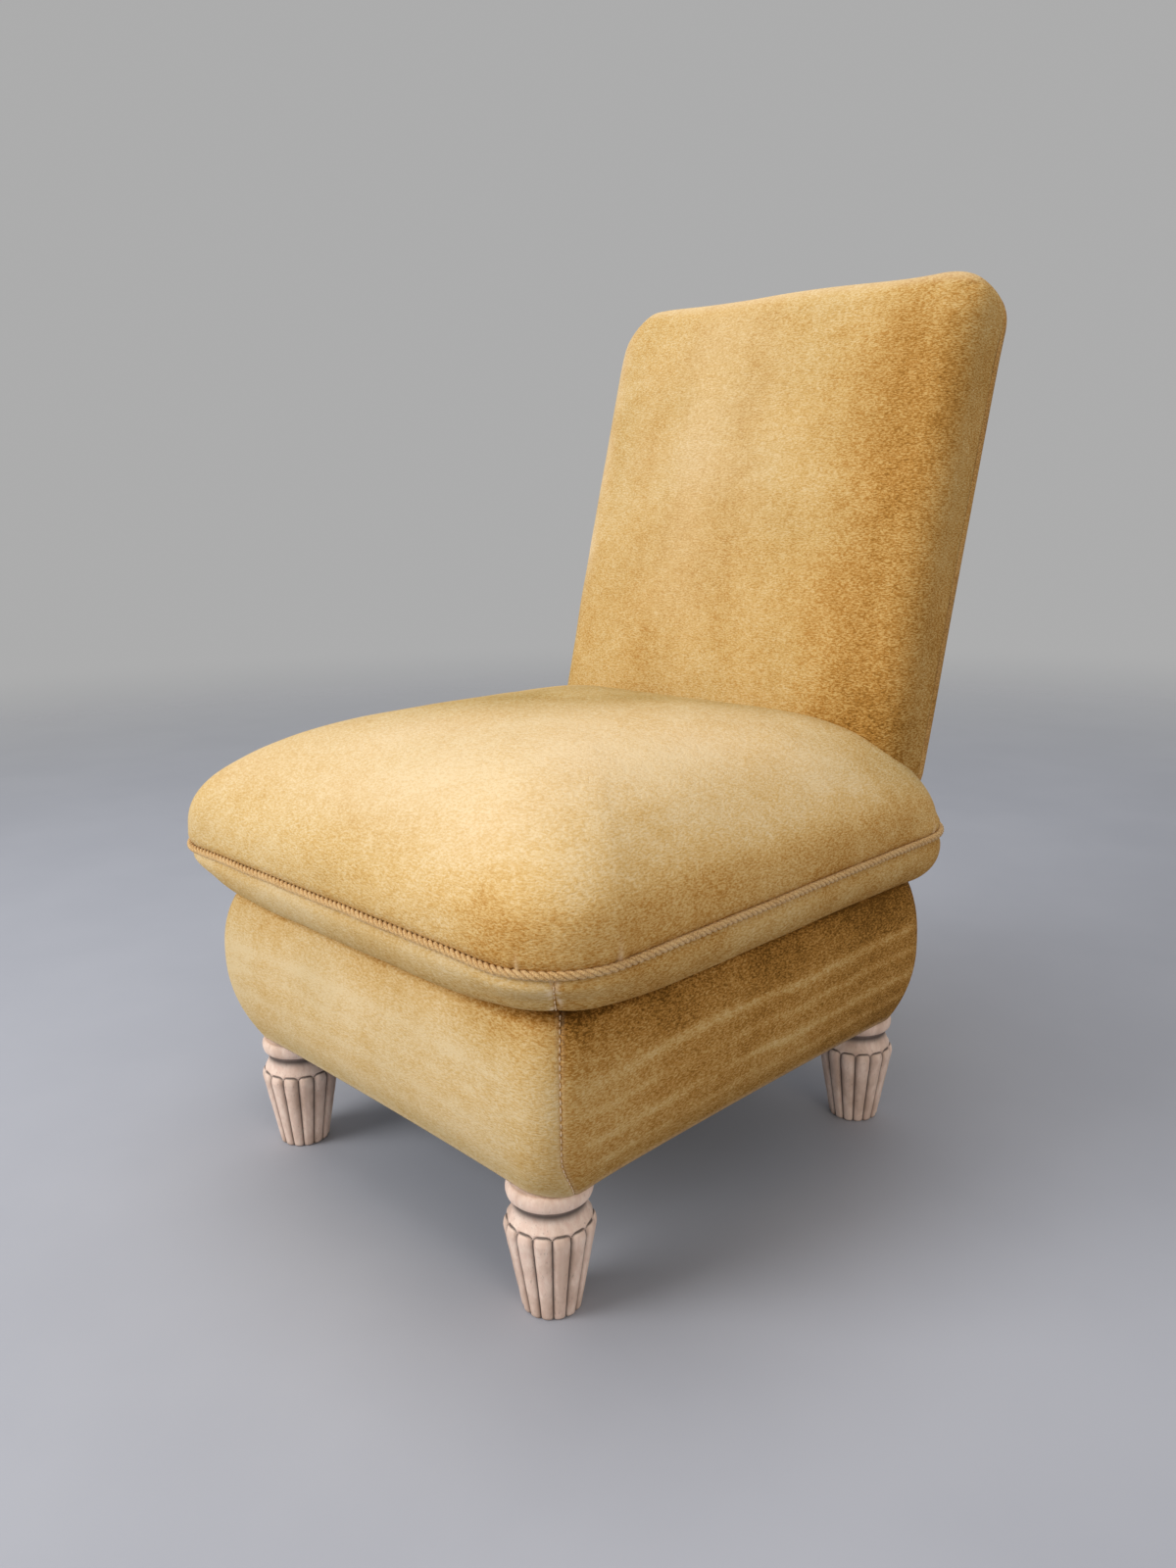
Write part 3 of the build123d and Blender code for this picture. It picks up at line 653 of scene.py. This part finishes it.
def base_panel(side, number):
    """One bulging side of the base; gives back its first end, where the stitches go."""
    turned_in = [size - BASE_TURN_IN for size in base_level(BASE_BOTTOM_Z)]
    rows = [panel_row(turned_in, number, BASE_BOTTOM_Z + BASE_TURN_UP, seam_shifts(BASE_BOTTOM_Z))]
    for z in np.linspace(BASE_BOTTOM_Z, CREASE_Z - 0.6, BASE_ROWS):
        rows.append(panel_row(base_level(z), number, z, seam_shifts(z)))
    turned_in = [size - CREASE_TURN_IN for size in base_level(CREASE_Z)]
    rows.append(panel_row(turned_in, number, CREASE_Z - CREASE_TURN_DOWN, seam_shifts(CREASE_Z)))
    grid = np.array(rows)
    normals = surface_normals(grid, False)
    z = grid[..., 2]
    swell = 1.2 * rolling(grid, 95.0, 31) * bump(z, BASE_BULGE_Z, 60)
    grid = grid + normals * swell[..., None]
    grid, gap = sew_ends(grid, normals)
    run = along_row(grid)
    share = run / run[:, -1:]
    low = 1 - smooth(z, BASE_BOTTOM_Z, BASE_BOTTOM_Z + 40)
    arch = BASE_ARCH[side] * np.sin(math.pi * share) ** 0.8 - 2.5 * np.exp(-gap / 18.0)
    grid[..., 2] += arch * low
    level = grid * (1.0, 1.0, 0.2)
    wander = 7 * rolling(level, 170.0, 40) + 2.5 * rolling(grid * (1.0, 1.0, 0.3), 50.0, 45)
    streaks = np.zeros_like(z)
    for seed, (line_z, width, weight) in enumerate(CRUSHED_LINES, start=46):
        here = weight * smooth(rolling(level, 110.0, seed), -0.9, 0.1)
        streaks += here * bump(z + wander, line_z, width) * smooth(gap, 8, 40)
    strokes = rolling(grid * (0.25, 0.25, 1.0) + grid[..., 2:] * (0.25, 0.25, 0), 9.0, 41)
    strength = CRUSH_STRENGTH[side]
    # Painted shade under the lip: the top of the base darkens towards the crease.
    high = smooth(z, 205, CREASE_Z)
    nap_and_shade = BASE_NAP_AND_SHADE[side] - strength * streaks + 0.16 * high + 0.3 * smooth(z, 250, CREASE_Z)
    nap_and_shade += 0.08 * rolling(grid, 80.0, 43)
    # Painted shade, partly pile turned away: the front panel is darker as it turns to the right corner,
    # and the right panel is darker towards the rear and lighter by its front seam.
    if side == "front":
        nap_and_shade += 0.13 * smooth(share, 0.7, 1.0) * bump(z, 195, 75)
    if side == "right":
        nap_and_shade += 0.15 * smooth(share, 0.5, 0.9) - 0.14 * (1 - smooth(share, 0.02, 0.3)) * (1 - high)
    nap_and_shade += strength * (0.25 * strokes * low + 0.2 * strokes) + 0.3 * np.exp(-gap / 0.7)
    olive = np.clip(0.13 + 0.35 * low + 0.16 * rolling(grid, 70.0, 47), 0, 1)
    rub = 0.35 * (1 - smooth(z, BASE_BOTTOM_Z, BASE_BOTTOM_Z + 9)) + 0.12 * bump(gap, 2.0, 1.6)
    piece = make_panel("base_panel_" + side, grid, False, VELVET, tones(nap_and_shade, olive, rub))
    thicken(piece, COVER_T)
    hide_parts("base_" + side + "_cover", "base_" + side + "_padding")
    return grid[1:-1, 0], normals[1:-1, 0]


def seam_shifts(z):
    """How far the front corner seams lie from mid-corner, more where they run under the base."""
    swing = 7.0 + 10.0 * (1 - smooth(z, BASE_BOTTOM_Z, BASE_BOTTOM_Z + 42))
    return 0.0, -swing, swing, 0.0


def seam_thread(name, line, normals):
    """Row of sewing stitches standing a little proud of a corner seam."""
    count = int(line_length(line) / STITCH_PITCH)
    steps = len(STITCH_FATNESS)
    fat = STITCH_R * STITCH_FATNESS
    lift = 0.9 * np.sin(np.linspace(0, math.pi, steps)) - 0.2
    points, faces = [], []
    for stitch in range(count):
        shares = (stitch + np.linspace(0.08, 0.86, steps)) / count
        path, out = along(line, shares), along(normals, shares)
        path = path + out * lift[:, None]
        ahead = np.gradient(path, axis=0)
        aside = np.cross(ahead, out)
        aside /= np.linalg.norm(aside, axis=1, keepdims=True)
        starts = [len(points) + i * steps for i in range(STITCH_SIDES)]
        for a in 2 * math.pi * np.arange(STITCH_SIDES) / STITCH_SIDES:
            points.extend(path + (aside * math.cos(a) + out * math.sin(a)) * fat[:, None])
        for here, following in zip(starts, starts[1:] + starts[:1]):
            for j in range(steps - 1):
                faces.append((here + j, following + j, following + j + 1, here + j + 1))
        faces.append(tuple(reversed(starts)))
        faces.append(tuple(start + steps - 1 for start in starts))
    add_piece(name, points, faces, THREAD)


# Cord of three twisted strands round the seat, sewn into the seam

STRANDS = 3
STRAND_R = 1.6
STRAND_OFFSET = 1.8
STRAND_SIDES = 9
STEPS_IN_TURN = 20
CORD_LAY = 18.5
CORD_PROUD = 1.6
CORD_CORNER_STEPS, CORD_SIDE_STEPS = 60, 300


def seat_rope():
    """Strands that wind round the line of the seam, each a closed tube."""
    out = STRAND_R + STRAND_OFFSET - SEAM_TUCK + CORD_PROUD
    flat = ring(*seat_plan(1, -out), CORD_CORNER_STEPS, CORD_SIDE_STEPS)
    closed = np.vstack([flat, flat[:1]])
    turns = round(line_length(closed) / CORD_LAY)
    count = turns * STEPS_IN_TURN
    path = along(closed, np.arange(count) / count)
    ahead = np.roll(path, -1, axis=0) - np.roll(path, 1, axis=0)
    ahead /= np.linalg.norm(ahead, axis=1, keepdims=True)
    outward = np.stack([ahead[:, 1], -ahead[:, 0], np.zeros(count)], axis=1)
    forward = np.concatenate([ahead, np.zeros((count, 1))], axis=1)
    upward = np.array([0.0, 0.0, 1.0])
    sag = 0.7 * rolling(at_height(path, CORD_Z), 50.0, 51)
    centre = at_height(path, CORD_Z + 0.5 + sag)
    for strand in range(STRANDS):
        angle = -2 * math.pi * (np.arange(count) * turns / count + strand / STRANDS)
        side = outward * np.cos(angle)[:, None] + upward * np.sin(angle)[:, None]
        other = upward * np.cos(angle)[:, None] - outward * np.sin(angle)[:, None]
        tilt = 2 * math.pi * STRAND_OFFSET / CORD_LAY
        other = other + forward * tilt
        other /= np.linalg.norm(other, axis=1, keepdims=True)
        middle = centre + side * STRAND_OFFSET
        grid = []
        for a in 2 * math.pi * np.arange(STRAND_SIDES) / STRAND_SIDES:
            grid.append(middle + STRAND_R * (side * math.cos(a) + other * math.sin(a)))
        faces = grid_faces(STRAND_SIDES, count, True, True)
        piece = add_piece("seat_rope_strand_%d" % (strand + 1), grid, faces, CORD)
        if strand == 0:
            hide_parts("seat_cord")


# Back: front panel over the padding and its edges, and the outside back

BACK_RISE = np.array([0.0, math.sin(BACK_RAKE), math.cos(BACK_RAKE)])
BACK_DEPTH = np.array([0.0, math.cos(BACK_RAKE), -math.sin(BACK_RAKE)])
BACK_CORNER_STEPS, BACK_SIDE_STEPS = 44, 150
BACK_FRONT_ROWS, BACK_OUTSIDE_ROWS = 96, 72
BACK_FRONT_T, BACK_OUTSIDE_T = 9.0, 5.0
SLIT_HALF = 2.0


def back_ring(depth, draw):
    """One outline of the back slab in its own frame: x, rise, depth."""
    half = BACK_HALF - draw
    top, low = BACK_TOP - draw, BACK_LOW + draw
    r = min(max(BACK_CORNER_R - 0.4 * draw, 4.0), half * 0.9)
    flat = ring(half, half, -low, top, r, r, BACK_CORNER_STEPS, BACK_SIDE_STEPS)
    return at_height(flat, depth)


def back_place(grid):
    """From the back's own frame to the chair's: top edge lower on the right, corners uneven."""
    x, rise, depth = grid[..., 0], grid[..., 1], grid[..., 2]
    lean = TOP_SLOPE * x * smooth(rise, BACK_TOP * 0.35, BACK_TOP)
    near_left = np.exp(-((x + BACK_HALF) ** 2 + (rise - BACK_TOP) ** 2) / 42.0 ** 2)
    near_right = np.exp(-((x - BACK_HALF) ** 2 + (rise - BACK_TOP) ** 2) / 44.0 ** 2)
    low = 1 - smooth(rise, 20, 150)
    wave = 1.2 * np.sin(x / 38.0 + 0.6) * smooth(rise, BACK_TOP - 60, BACK_TOP)
    fat = np.clip(1 - ((depth - BACK_THICK / 2) / (BACK_THICK / 2)) ** 2, 0, 1)
    wide_left = (2.0 + 2.5 * low) * smooth(-x, 150, BACK_HALF)
    wide_right = (0.8 + 1.0 * low) * smooth(x, 150, BACK_HALF)
    x = x + 7.0 * near_left + (1.0 + 6.0 * fat) * near_right + wide_left + wide_right
    rise = rise - lean - 6.0 * near_left + 4.0 * fat * near_right + wave
    return (np.array(BACK_FOOT) + x[..., None] * (1.0, 0.0, 0.0) + rise[..., None] * BACK_RISE
            + depth[..., None] * BACK_DEPTH)


def back_front():
    """Front panel of the back with its rolled edges, pile turned away towards the right, and painted
    shade low down by the seat.
    """
    curve = []
    for depth in np.linspace(BACK_SEAM_DEPTH, BACK_EDGE_R, 12)[:-1]:
        curve.append((0.0, depth))
    for turn in np.radians(np.linspace(0, 84, 30)):
        curve.append((BACK_EDGE_R * (1 - math.cos(turn)), BACK_EDGE_R * (1 - math.sin(turn))))
    edge_draw, edge_depth = curve[-1]
    for draw in np.linspace(edge_draw, BACK_HALF - SLIT_HALF, 60)[1:]:
        share = min((draw - edge_draw) / 100.0, 1.0)
        curve.append((draw, edge_depth - (BACK_CROWN + edge_depth) * (1 - (1 - share) ** 2.2)))
    profile = along(np.array(curve), np.linspace(0, 1, BACK_FRONT_ROWS))
    grid = np.array([back_ring(depth, draw) for draw, depth in profile])
    x, rise, depth = grid[..., 0], grid[..., 1], grid[..., 2]
    draw = np.broadcast_to(profile[:, 0][:, None], x.shape)
    swell = 1.8 * rolling(grid, 120.0, 61) * smooth(draw, 8, 60) + 0.5 * rolling(grid, 40.0, 62)
    swell += 4.0 * bump(rise, 40, 60) * smooth(draw, 10, 70)
    grid = grid.copy()
    grid[..., 2] -= swell
    for side in (-1, 1):
        for offset, bite in ((-9.0, 1.7), (7.0, 1.2)):
            inward, below = x - side * (BACK_HALF - 26), rise - (BACK_TOP - 24)
            fold = (np.abs(inward) - np.abs(below) + offset) * 0.7
            near = bump(np.hypot(x - side * (BACK_HALF - 16), rise - (BACK_TOP - 14)), 0, 26)
            grid[..., 2] += bite * bump(fold, 0, 3.0) * near
    seam = SEAM_DEPTH * np.exp(-((BACK_SEAM_DEPTH - depth) / SEAM_WIDTH) ** 2) * (depth > BACK_EDGE_R)
    shrink = 1 - seam / BACK_HALF
    grid[..., 0] *= shrink
    grid[..., 1] = BACK_TOP * 0.5 + (grid[..., 1] - BACK_TOP * 0.5) * (1 - seam / (BACK_TOP * 0.5))
    boundary = 150 + 20 * rolling(grid, 80.0, 63) + 12 * rolling(grid, 24.0, 64)
    turned = 0.85 * smooth(x, boundary - 90, boundary + 60)
    turned += 0.15 * smooth(x, boundary - 22, boundary + 22)
    turned = turned * (1 - 0.3 * smooth(rise, 360, 440) * smooth(x, 60, 160))
    streaked = rolling(grid * (1.0, 0.22, 1.0), 26.0, 69)
    nap_and_shade = 0.275 + 0.275 * turned + 0.05 * rolling(grid, 90.0, 65) + 0.04 * streaked
    nap_and_shade -= 0.1 * smooth(x, BACK_HALF - 14, BACK_HALF) * smooth(depth, 10, 40)
    # Painted shade by the seat: the lowest part of the back is made darker and more olive.
    nap_and_shade += (0.02 + 0.07 * turned) * (1 - smooth(rise, 60, 200))
    olive = np.clip(0.28 + 0.16 * (1 - smooth(rise, 10, 90)) + 0.13 * rolling(grid, 60.0, 66), 0, 1)
    rub = 0.6 * bump(x, -BACK_HALF + 12, 16) * smooth(rise, 60, 200)
    rub *= 0.6 + 0.5 * rolling(grid, 30.0, 67)
    rub += 0.3 * bump(x, -60, 80) * bump(rise, 300, 170) * (0.6 + 0.6 * rolling(grid, 70.0, 68))
    rub += 0.4 * smooth(rise, BACK_TOP - 22, BACK_TOP - 4)
    grid = back_place(grid)[:, ::-1]
    tone = tones(nap_and_shade, olive, np.clip(rub, 0, 1))[:, ::-1]
    piece = make_panel("back_front_panel", grid, True, VELVET, tone)
    close_slit(piece, grid.shape[1])
    thicken(piece, BACK_FRONT_T)
    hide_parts("back_front_cover", "back_padding")
    return piece


def close_slit(piece, columns):
    """Joins the two sides of the last, slit-like ring of a panel."""
    mesh = bmesh.new()
    mesh.from_mesh(piece.data)
    mesh.verts.ensure_lookup_table()
    last = mesh.verts[-columns:]
    edges = [mesh.edges.get((last[j], last[(j + 1) % columns])) for j in range(columns)]
    bmesh.ops.holes_fill(mesh, edges=[e for e in edges if e], sides=0)
    bmesh.ops.recalc_face_normals(mesh, faces=mesh.faces)
    mesh.to_mesh(piece.data)
    mesh.free()
    piece.data.shade_smooth()


def back_outside():
    """Outside back panel, sewn to the front panel along its edge."""
    curve = []
    for depth in np.linspace(BACK_SEAM_DEPTH + 0.3, BACK_THICK - BACK_REAR_R, 8)[:-1]:
        curve.append((SEAM_DEPTH * math.exp(-((depth - BACK_SEAM_DEPTH) / SEAM_WIDTH) ** 2), depth))
    for turn in np.radians(np.linspace(0, 86, 18)):
        curve.append((BACK_REAR_R * (1 - math.cos(turn)),
                      BACK_THICK - BACK_REAR_R * (1 - math.sin(turn))))
    edge_draw, edge_depth = curve[-1]
    for draw in np.linspace(edge_draw, BACK_HALF - SLIT_HALF, 50)[1:]:
        share = min((draw - edge_draw) / 90.0, 1.0)
        curve.append((draw, edge_depth + 2.0 * (1 - (1 - share) ** 2)))
    profile = along(np.array(curve), np.linspace(0, 1, BACK_OUTSIDE_ROWS))
    grid = np.array([back_ring(depth, draw) for draw, depth in profile])
    x = grid[..., 0]
    draw = np.broadcast_to(profile[:, 0][:, None], x.shape)
    grid = grid.copy()
    grid[..., 2] += 1.2 * rolling(grid, 110.0, 71) * smooth(draw, 5, 60)
    nap_and_shade = 0.3 + 0.14 * rolling(grid, 90.0, 72) + 0.08 * rolling(grid * (1.0, 0.3, 1.0), 18.0, 73)
    nap_and_shade += 0.32 * np.exp(-draw / 7.0) * smooth(x, 0, 150)
    olive = np.clip(0.13 + 0.16 * rolling(grid, 60.0, 74), 0, 1)
    rub = 0.12 * np.exp(-draw / 4.0) * (0.6 + 0.6 * rolling(grid, 30.0, 75))
    grid = back_place(grid)
    tone = tones(nap_and_shade, olive, np.clip(rub, 0, 1))
    piece = make_panel("back_outside_panel", grid, True, VELVET, tone)
    close_slit(piece, grid.shape[1])
    thicken(piece, BACK_OUTSIDE_T)
    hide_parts("back_outer_cover", "back_rear_wadding")
    return piece


# Painted contact shadow of the crease at the seat, for the points of the cut that come out white
CREASE_SHADOW_TONE = (0.65, 0.2, 0.0, 1.0)
WHITE_FROM = 0.98
SHARP_FROM = math.radians(50)


def cut_by(piece, cutter):
    """Cuts one closed piece by another, as the back's lower end is cut to the seat."""
    modifier = piece.modifiers.new("cut", "BOOLEAN")
    modifier.operation = "DIFFERENCE"
    modifier.solver = "EXACT"
    modifier.object = cutter
    apply_modifiers(piece)
    piece.data.shade_smooth()
    piece.data.set_sharp_from_angle(angle=SHARP_FROM)
    layer = piece.data.color_attributes["tone"]
    values = np.empty(len(layer.data) * 4, dtype=np.float32)
    layer.data.foreach_get("color", values)
    values = values.reshape(-1, 4)
    # The white points of the cut get the painted contact shadow where the back meets the seat.
    values[values[:, :3].min(axis=1) > WHITE_FROM] = CREASE_SHADOW_TONE
    layer.data.foreach_set("color", values.ravel())


# Black lining stretched over the underside, cut out round the feet

LINING_INSET = 11.0
LINING_Z = BASE_BOTTOM_Z + 0.9
LINING_T = 0.7
LINING_STEP = 16.0
FOOT_TOP_R, LINING_FOOT_GAP = 26.5, 2.0
LINING_CLEAR = 6
LINING_SAG = 2.2
HOLE_STEPS = 40


def underside_lining():
    """The lining as a thin sheet with four holes, sagging a little in the middle."""
    half, _, front, rear, front_r, rear_r = (size - LINING_INSET for size in base_level(BASE_BOTTOM_Z))
    edge = ring(half, half, front, rear, front_r, rear_r, 12, 16)
    holes = []
    hole_r = FOOT_TOP_R + LINING_FOOT_GAP
    for x, y in ((-FOOT_X, -FOOT_Y), (FOOT_X, -FOOT_Y), (FOOT_X, FOOT_Y), (-FOOT_X, FOOT_Y)):
        turns = 2 * math.pi * np.arange(HOLE_STEPS) / HOLE_STEPS
        holes.append(np.stack([x + hole_r * np.cos(turns), y + hole_r * np.sin(turns)], axis=1))
    spots = [tuple(p) for loop in (edge, *holes) for p in loop]
    edges = []
    start = 0
    for loop in (edge, *holes):
        edges += [(start + i, start + (i + 1) % len(loop)) for i in range(len(loop))]
        start += len(loop)
    for x in np.arange(-half + 8, half - 4, LINING_STEP):
        for y in np.arange(-front + 8, rear - 4, LINING_STEP):
            by_foot = math.hypot(abs(x) - FOOT_X, abs(y) - FOOT_Y) - hole_r < LINING_CLEAR
            inside = abs(x) < half - LINING_CLEAR and -front + LINING_CLEAR < y < rear - LINING_CLEAR
            if inside and not by_foot:
                spots.append((x, y))
    flat, _, faces, *_ = delaunay_2d_cdt([Vector(p) for p in spots], edges, [], 0, 1e-6)
    kept = []
    for face in faces:
        x, y = np.mean([flat[i] for i in face], axis=0)
        if math.hypot(abs(x) - FOOT_X, abs(y) - FOOT_Y) > hole_r - 0.5:
            kept.append(tuple(reversed(face)))
    points = []
    for x, y in flat:
        sag = LINING_SAG * math.cos(math.pi * x / (2 * half)) * math.cos(math.pi * y / (front + rear))
        points.append((x, y, LINING_Z - max(sag, 0)))
    piece = add_piece("underside_lining", points, kept, LINING)
    thicken(piece, LINING_T)
    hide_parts("dust_cover")


# Turned feet: torus, neck and collar over a tapering ring of reeds with arched tops

REEDS = 14
REED_STEPS = 14
FOOT_HEIGHT = 118.0
SPIGOT_R, SPIGOT_TOP = 8.5, 152.0
FLOOR_R, REED_R, REED_TOP_Z, REED_END_Z = 23.4, 36.2, 71.0, 79.0
COLLAR_R = 33.2
NECK_R, NECK_Z = 28.2, 92.0
TORUS_LOW_Z, TORUS_HALF, TORUS_R, TORUS_BULGE = 96.4, 6.6, 34.0, 3.6
FOOT_TOP_Z = 109.7
COLLAR_DIP = 1.1
FOOT_CHIPS = 0.22
# Name, side, end and turn about its own axis of each foot
FEET = (("front_left", -1, -1, 0.3), ("front_right", 1, -1, 1.1), ("rear_left", -1, 1, 1.9),
        ("rear_right", 1, 1, 2.6))


def foot_radius(z):
    """Radius of the collar, which flares out below the hollow neck."""
    flare = max((NECK_Z - z) / (NECK_Z - REED_END_Z), 0.0)
    roll = max((z - NECK_Z) / (TORUS_LOW_Z - NECK_Z), 0.0)
    return NECK_R + (COLLAR_R - NECK_R) * flare ** 1.5 + (TORUS_R - TORUS_BULGE - NECK_R) * roll ** 2


def foot_grid():
    """Points of one foot about its own axis, how dark each is from wax in the hollows and from painted
    shade, and how near an edge.
    """
    spots = np.arange(REEDS * REED_STEPS)
    angles = 2 * math.pi * spots / (REEDS * REED_STEPS)
    phase = np.abs((spots % REED_STEPS) / REED_STEPS * 2 - 1)
    rows, wax_and_shade_rows, edges = [], [], []

    def put(radius, z, wax_and_shade, edge=0.0):
        radius = np.broadcast_to(radius, angles.shape)
        x, y = radius * np.cos(angles), radius * np.sin(angles)
        rows.append(np.stack([x, y, np.full(angles.shape, z)], axis=1))
        wax_and_shade_rows.append(np.clip(np.broadcast_to(wax_and_shade, angles.shape), 0, 1))
        edges.append(np.broadcast_to(edge, angles.shape))

    arch_z = REED_END_Z - 1.0 - 3.2 * phase ** 4
    heights = np.concatenate([[0.0, 0.6, 1.4], np.linspace(3.0, 64.0, 26), np.linspace(65.0, 79.4, 40)])
    for z in heights:
        crest = FLOOR_R + (REED_R - FLOOR_R) * min(z / REED_TOP_Z, 1.0) - 1.2 * max(0.0, 1 - z / 1.4)
        depth = 1.7 + 0.9 * z / REED_TOP_Z
        valley = depth * phase ** 2.6 + 0.9 * np.exp(-(1 - phase) / 0.1)
        below = np.maximum(arch_z - z, 0)
        above = np.maximum(z - arch_z, 0)
        reed = crest - valley - 2.4 * np.exp(-below / 2.2)
        collar = COLLAR_R - COLLAR_DIP * np.exp(-above / 0.8)
        arched = np.where(z < arch_z, np.maximum(reed, COLLAR_R - COLLAR_DIP), collar)
        radius = arched if z > 60 else reed
        dark = 0.95 * np.exp(-(1 - phase) / 0.13) * (z < arch_z)
        dark += 0.9 * np.exp(-((z - arch_z) / 0.65) ** 2)
        # Painted contact shadow at the floor darkens the foot's lowest millimetres.
        put(radius, z, dark + 0.6 * np.exp(-z / 1.2), 0.8 * (1 - phase) ** 2)
    for z in np.linspace(79.8, TORUS_LOW_Z, 24):
        # Dark stain in the neck with painted shade under the torus, and a painted dark line at the
        # torus's lower edge.
        dark = 0.9 * math.exp(-((z - NECK_Z - 0.5) / 4.2) ** 2)
        dark += 0.5 * math.exp(-((z - TORUS_LOW_Z) / 1.2) ** 2)
        put(foot_radius(z), z, dark, 0.6 * math.exp(-((z - 82.0) / 2.0) ** 2))
    for turn in np.radians(np.linspace(-90, 90, 26)):
        radius = TORUS_R - TORUS_BULGE * (1 - math.cos(turn))
        z = TORUS_LOW_Z + TORUS_HALF * (1 + math.sin(turn))
        # Painted shade on the underside of the torus.
        put(radius, z, 0.6 * math.exp(-(math.degrees(turn) + 90) / 20), 0.5)
    for radius, z in ((FOOT_TOP_R, FOOT_TOP_Z), (FOOT_TOP_R, FOOT_HEIGHT),
                      (SPIGOT_R, FOOT_HEIGHT), (SPIGOT_R, SPIGOT_TOP)):
        put(radius, z, 0.3)
    return np.array(rows), np.array(wax_and_shade_rows), np.array(edges)


def feet():
    """The four feet, each turned a little differently and slightly chipped."""
    grid, wax_and_shade_rows, edges = foot_grid()
    tone = tones(wax_and_shade_rows, edges, 0.0)
    for name, side, end, turn in FEET:
        axis = (side * FOOT_X, end * FOOT_Y, 0)
        c, s = math.cos(turn), math.sin(turn)
        placed = grid @ np.array([[c, s, 0], [-s, c, 0], [0, 0, 1]])
        placed = placed + axis
        chips = FOOT_CHIPS * rolling(placed, 9.0, 81) * (placed[..., 2] < FOOT_HEIGHT - 8)
        out = placed - axis
        out[..., 2] = 0
        reach = np.maximum(np.linalg.norm(out, axis=-1, keepdims=True), 1e-6)
        placed = placed + out / reach * chips[..., None]
        piece = make_panel("foot_" + name, placed, True, LIMED_WOOD, tone, capped=True)
        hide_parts(name + "_foot")


# The corner names give where each side's first seam is
CORNERS = ("rear_left", "front_left", "front_right", "rear_right")
cushion = seat_cushion()
for number, (side, corner) in enumerate(zip(SIDES, CORNERS)):
    seam_thread("seat_border_stitches_" + corner, *seat_border(side, number))
    seam_thread("base_stitches_" + corner, *base_panel(side, number))
seat_rope()
underside_lining()
for panel in (back_front(), back_outside()):
    cut_by(panel, cushion)
feet()


# Camera at the photograph's angle, plain floor and soft light

PHOTO_HEIGHT = 1600
FOCAL_PIXELS = 1196.82
CAMERA_SPOT = (784.93, -746.59, 602.16)
CAMERA_TURN, CAMERA_TILT, CAMERA_ROLL = (math.radians(angle) for angle in (45.85, 12.99, -0.93))
SENSOR_WIDTH = 36.0

# Where the floor starts to fade and where it ends, in metres, and its two greys
FADE_START, FADE_END = 1.2, 4.5
FLOOR_TONES = ((0.415, 0.432, 0.49), (0.44, 0.457, 0.515))
WORLD_COLOUR, WORLD_STRENGTH = (0.83, 0.83, 0.83, 1), 0.5
# Name, place, target and size in metres, watts and colour of each lamp
LIGHTS = (("key", (-1.0, -2.7, 1.7), (0, 0, 0.35), 1.8, 59.0, (1.0, 0.985, 0.96)),
          ("top", (-0.2, -0.2, 2.8), (0, 0, 0.4), 2.0, 25.0, (1, 1, 1)),
          ("fill", (2.6, -0.9, 1.5), (0, 0, 0.4), 1.4, 13.0, (1.0, 0.86, 0.68)))


def make_camera():
    """Camera where the photograph was taken from; the lens is fitted to the photograph's height."""
    data = bpy.data.cameras.new("camera")
    data.sensor_width = SENSOR_WIDTH
    data.lens = SENSOR_WIDTH * FOCAL_PIXELS / PHOTO_HEIGHT
    camera = bpy.data.objects.new("camera", data)
    bpy.context.scene.collection.objects.link(camera)
    level = math.cos(CAMERA_TILT)
    forward = Vector((-math.sin(CAMERA_TURN) * level, math.cos(CAMERA_TURN) * level,
                      -math.sin(CAMERA_TILT)))
    right = Vector((math.cos(CAMERA_TURN), math.sin(CAMERA_TURN), 0))
    down = forward.cross(right)
    c, s = math.cos(CAMERA_ROLL), math.sin(CAMERA_ROLL)
    rolled_right = right * c - down * s
    rolled_down = right * s + down * c
    axes = Matrix((rolled_right, -rolled_down, -forward)).transposed().to_4x4()
    spot = Vector(CAMERA_SPOT) + Vector((0, FEET_MIDDLE_Y, 0))
    camera.matrix_world = Matrix.Translation(spot * MM) @ axes
    bpy.context.scene.camera = camera


def area_light(name, spot, target, size, power, colour):
    """Soft round lamp."""
    data = bpy.data.lights.new(name, "AREA")
    data.shape = "DISK"
    data.size = size
    data.energy = power
    data.color = colour
    light = bpy.data.objects.new(name, data)
    bpy.context.scene.collection.objects.link(light)
    light.location = spot
    light.rotation_mode = "QUATERNION"
    light.rotation_quaternion = (Vector(target) - Vector(spot)).to_track_quat("-Z", "Y")


def make_stage():
    """Plain floor that fades into the pale surround far from the chair."""
    material, tree, shader = new_material("studio_floor")
    space = object_space(tree)
    grain = noise_node(tree, space, 3.0, 4.0, 0.55)
    distance = add(tree, "ShaderNodeVectorMath", {0: space}, operation="LENGTH").outputs["Value"]
    feed(tree, shader, {"Base Color": mix(tree, remap(tree, grain), *FLOOR_TONES),
                        "Alpha": remap(tree, distance, FADE_START, FADE_END, 1, 0),
                        "Roughness": 0.55, "Specular IOR Level": 0.25})
    bpy.ops.mesh.primitive_circle_add(vertices=128, radius=FADE_END, fill_type="NGON")
    floor = bpy.context.object
    floor.name = "studio_floor"
    floor.data.materials.append(material)


def make_world():
    """Even grey light from all round."""
    world = bpy.data.worlds.new("studio")
    world.use_nodes = True
    background = world.node_tree.nodes["Background"]
    background.inputs["Color"].default_value = WORLD_COLOUR
    background.inputs["Strength"].default_value = WORLD_STRENGTH
    bpy.context.scene.world = world


make_camera()
make_stage()
make_world()
for light in LIGHTS:
    area_light(*light)
bpy.context.scene.view_settings.view_transform = "Standard"
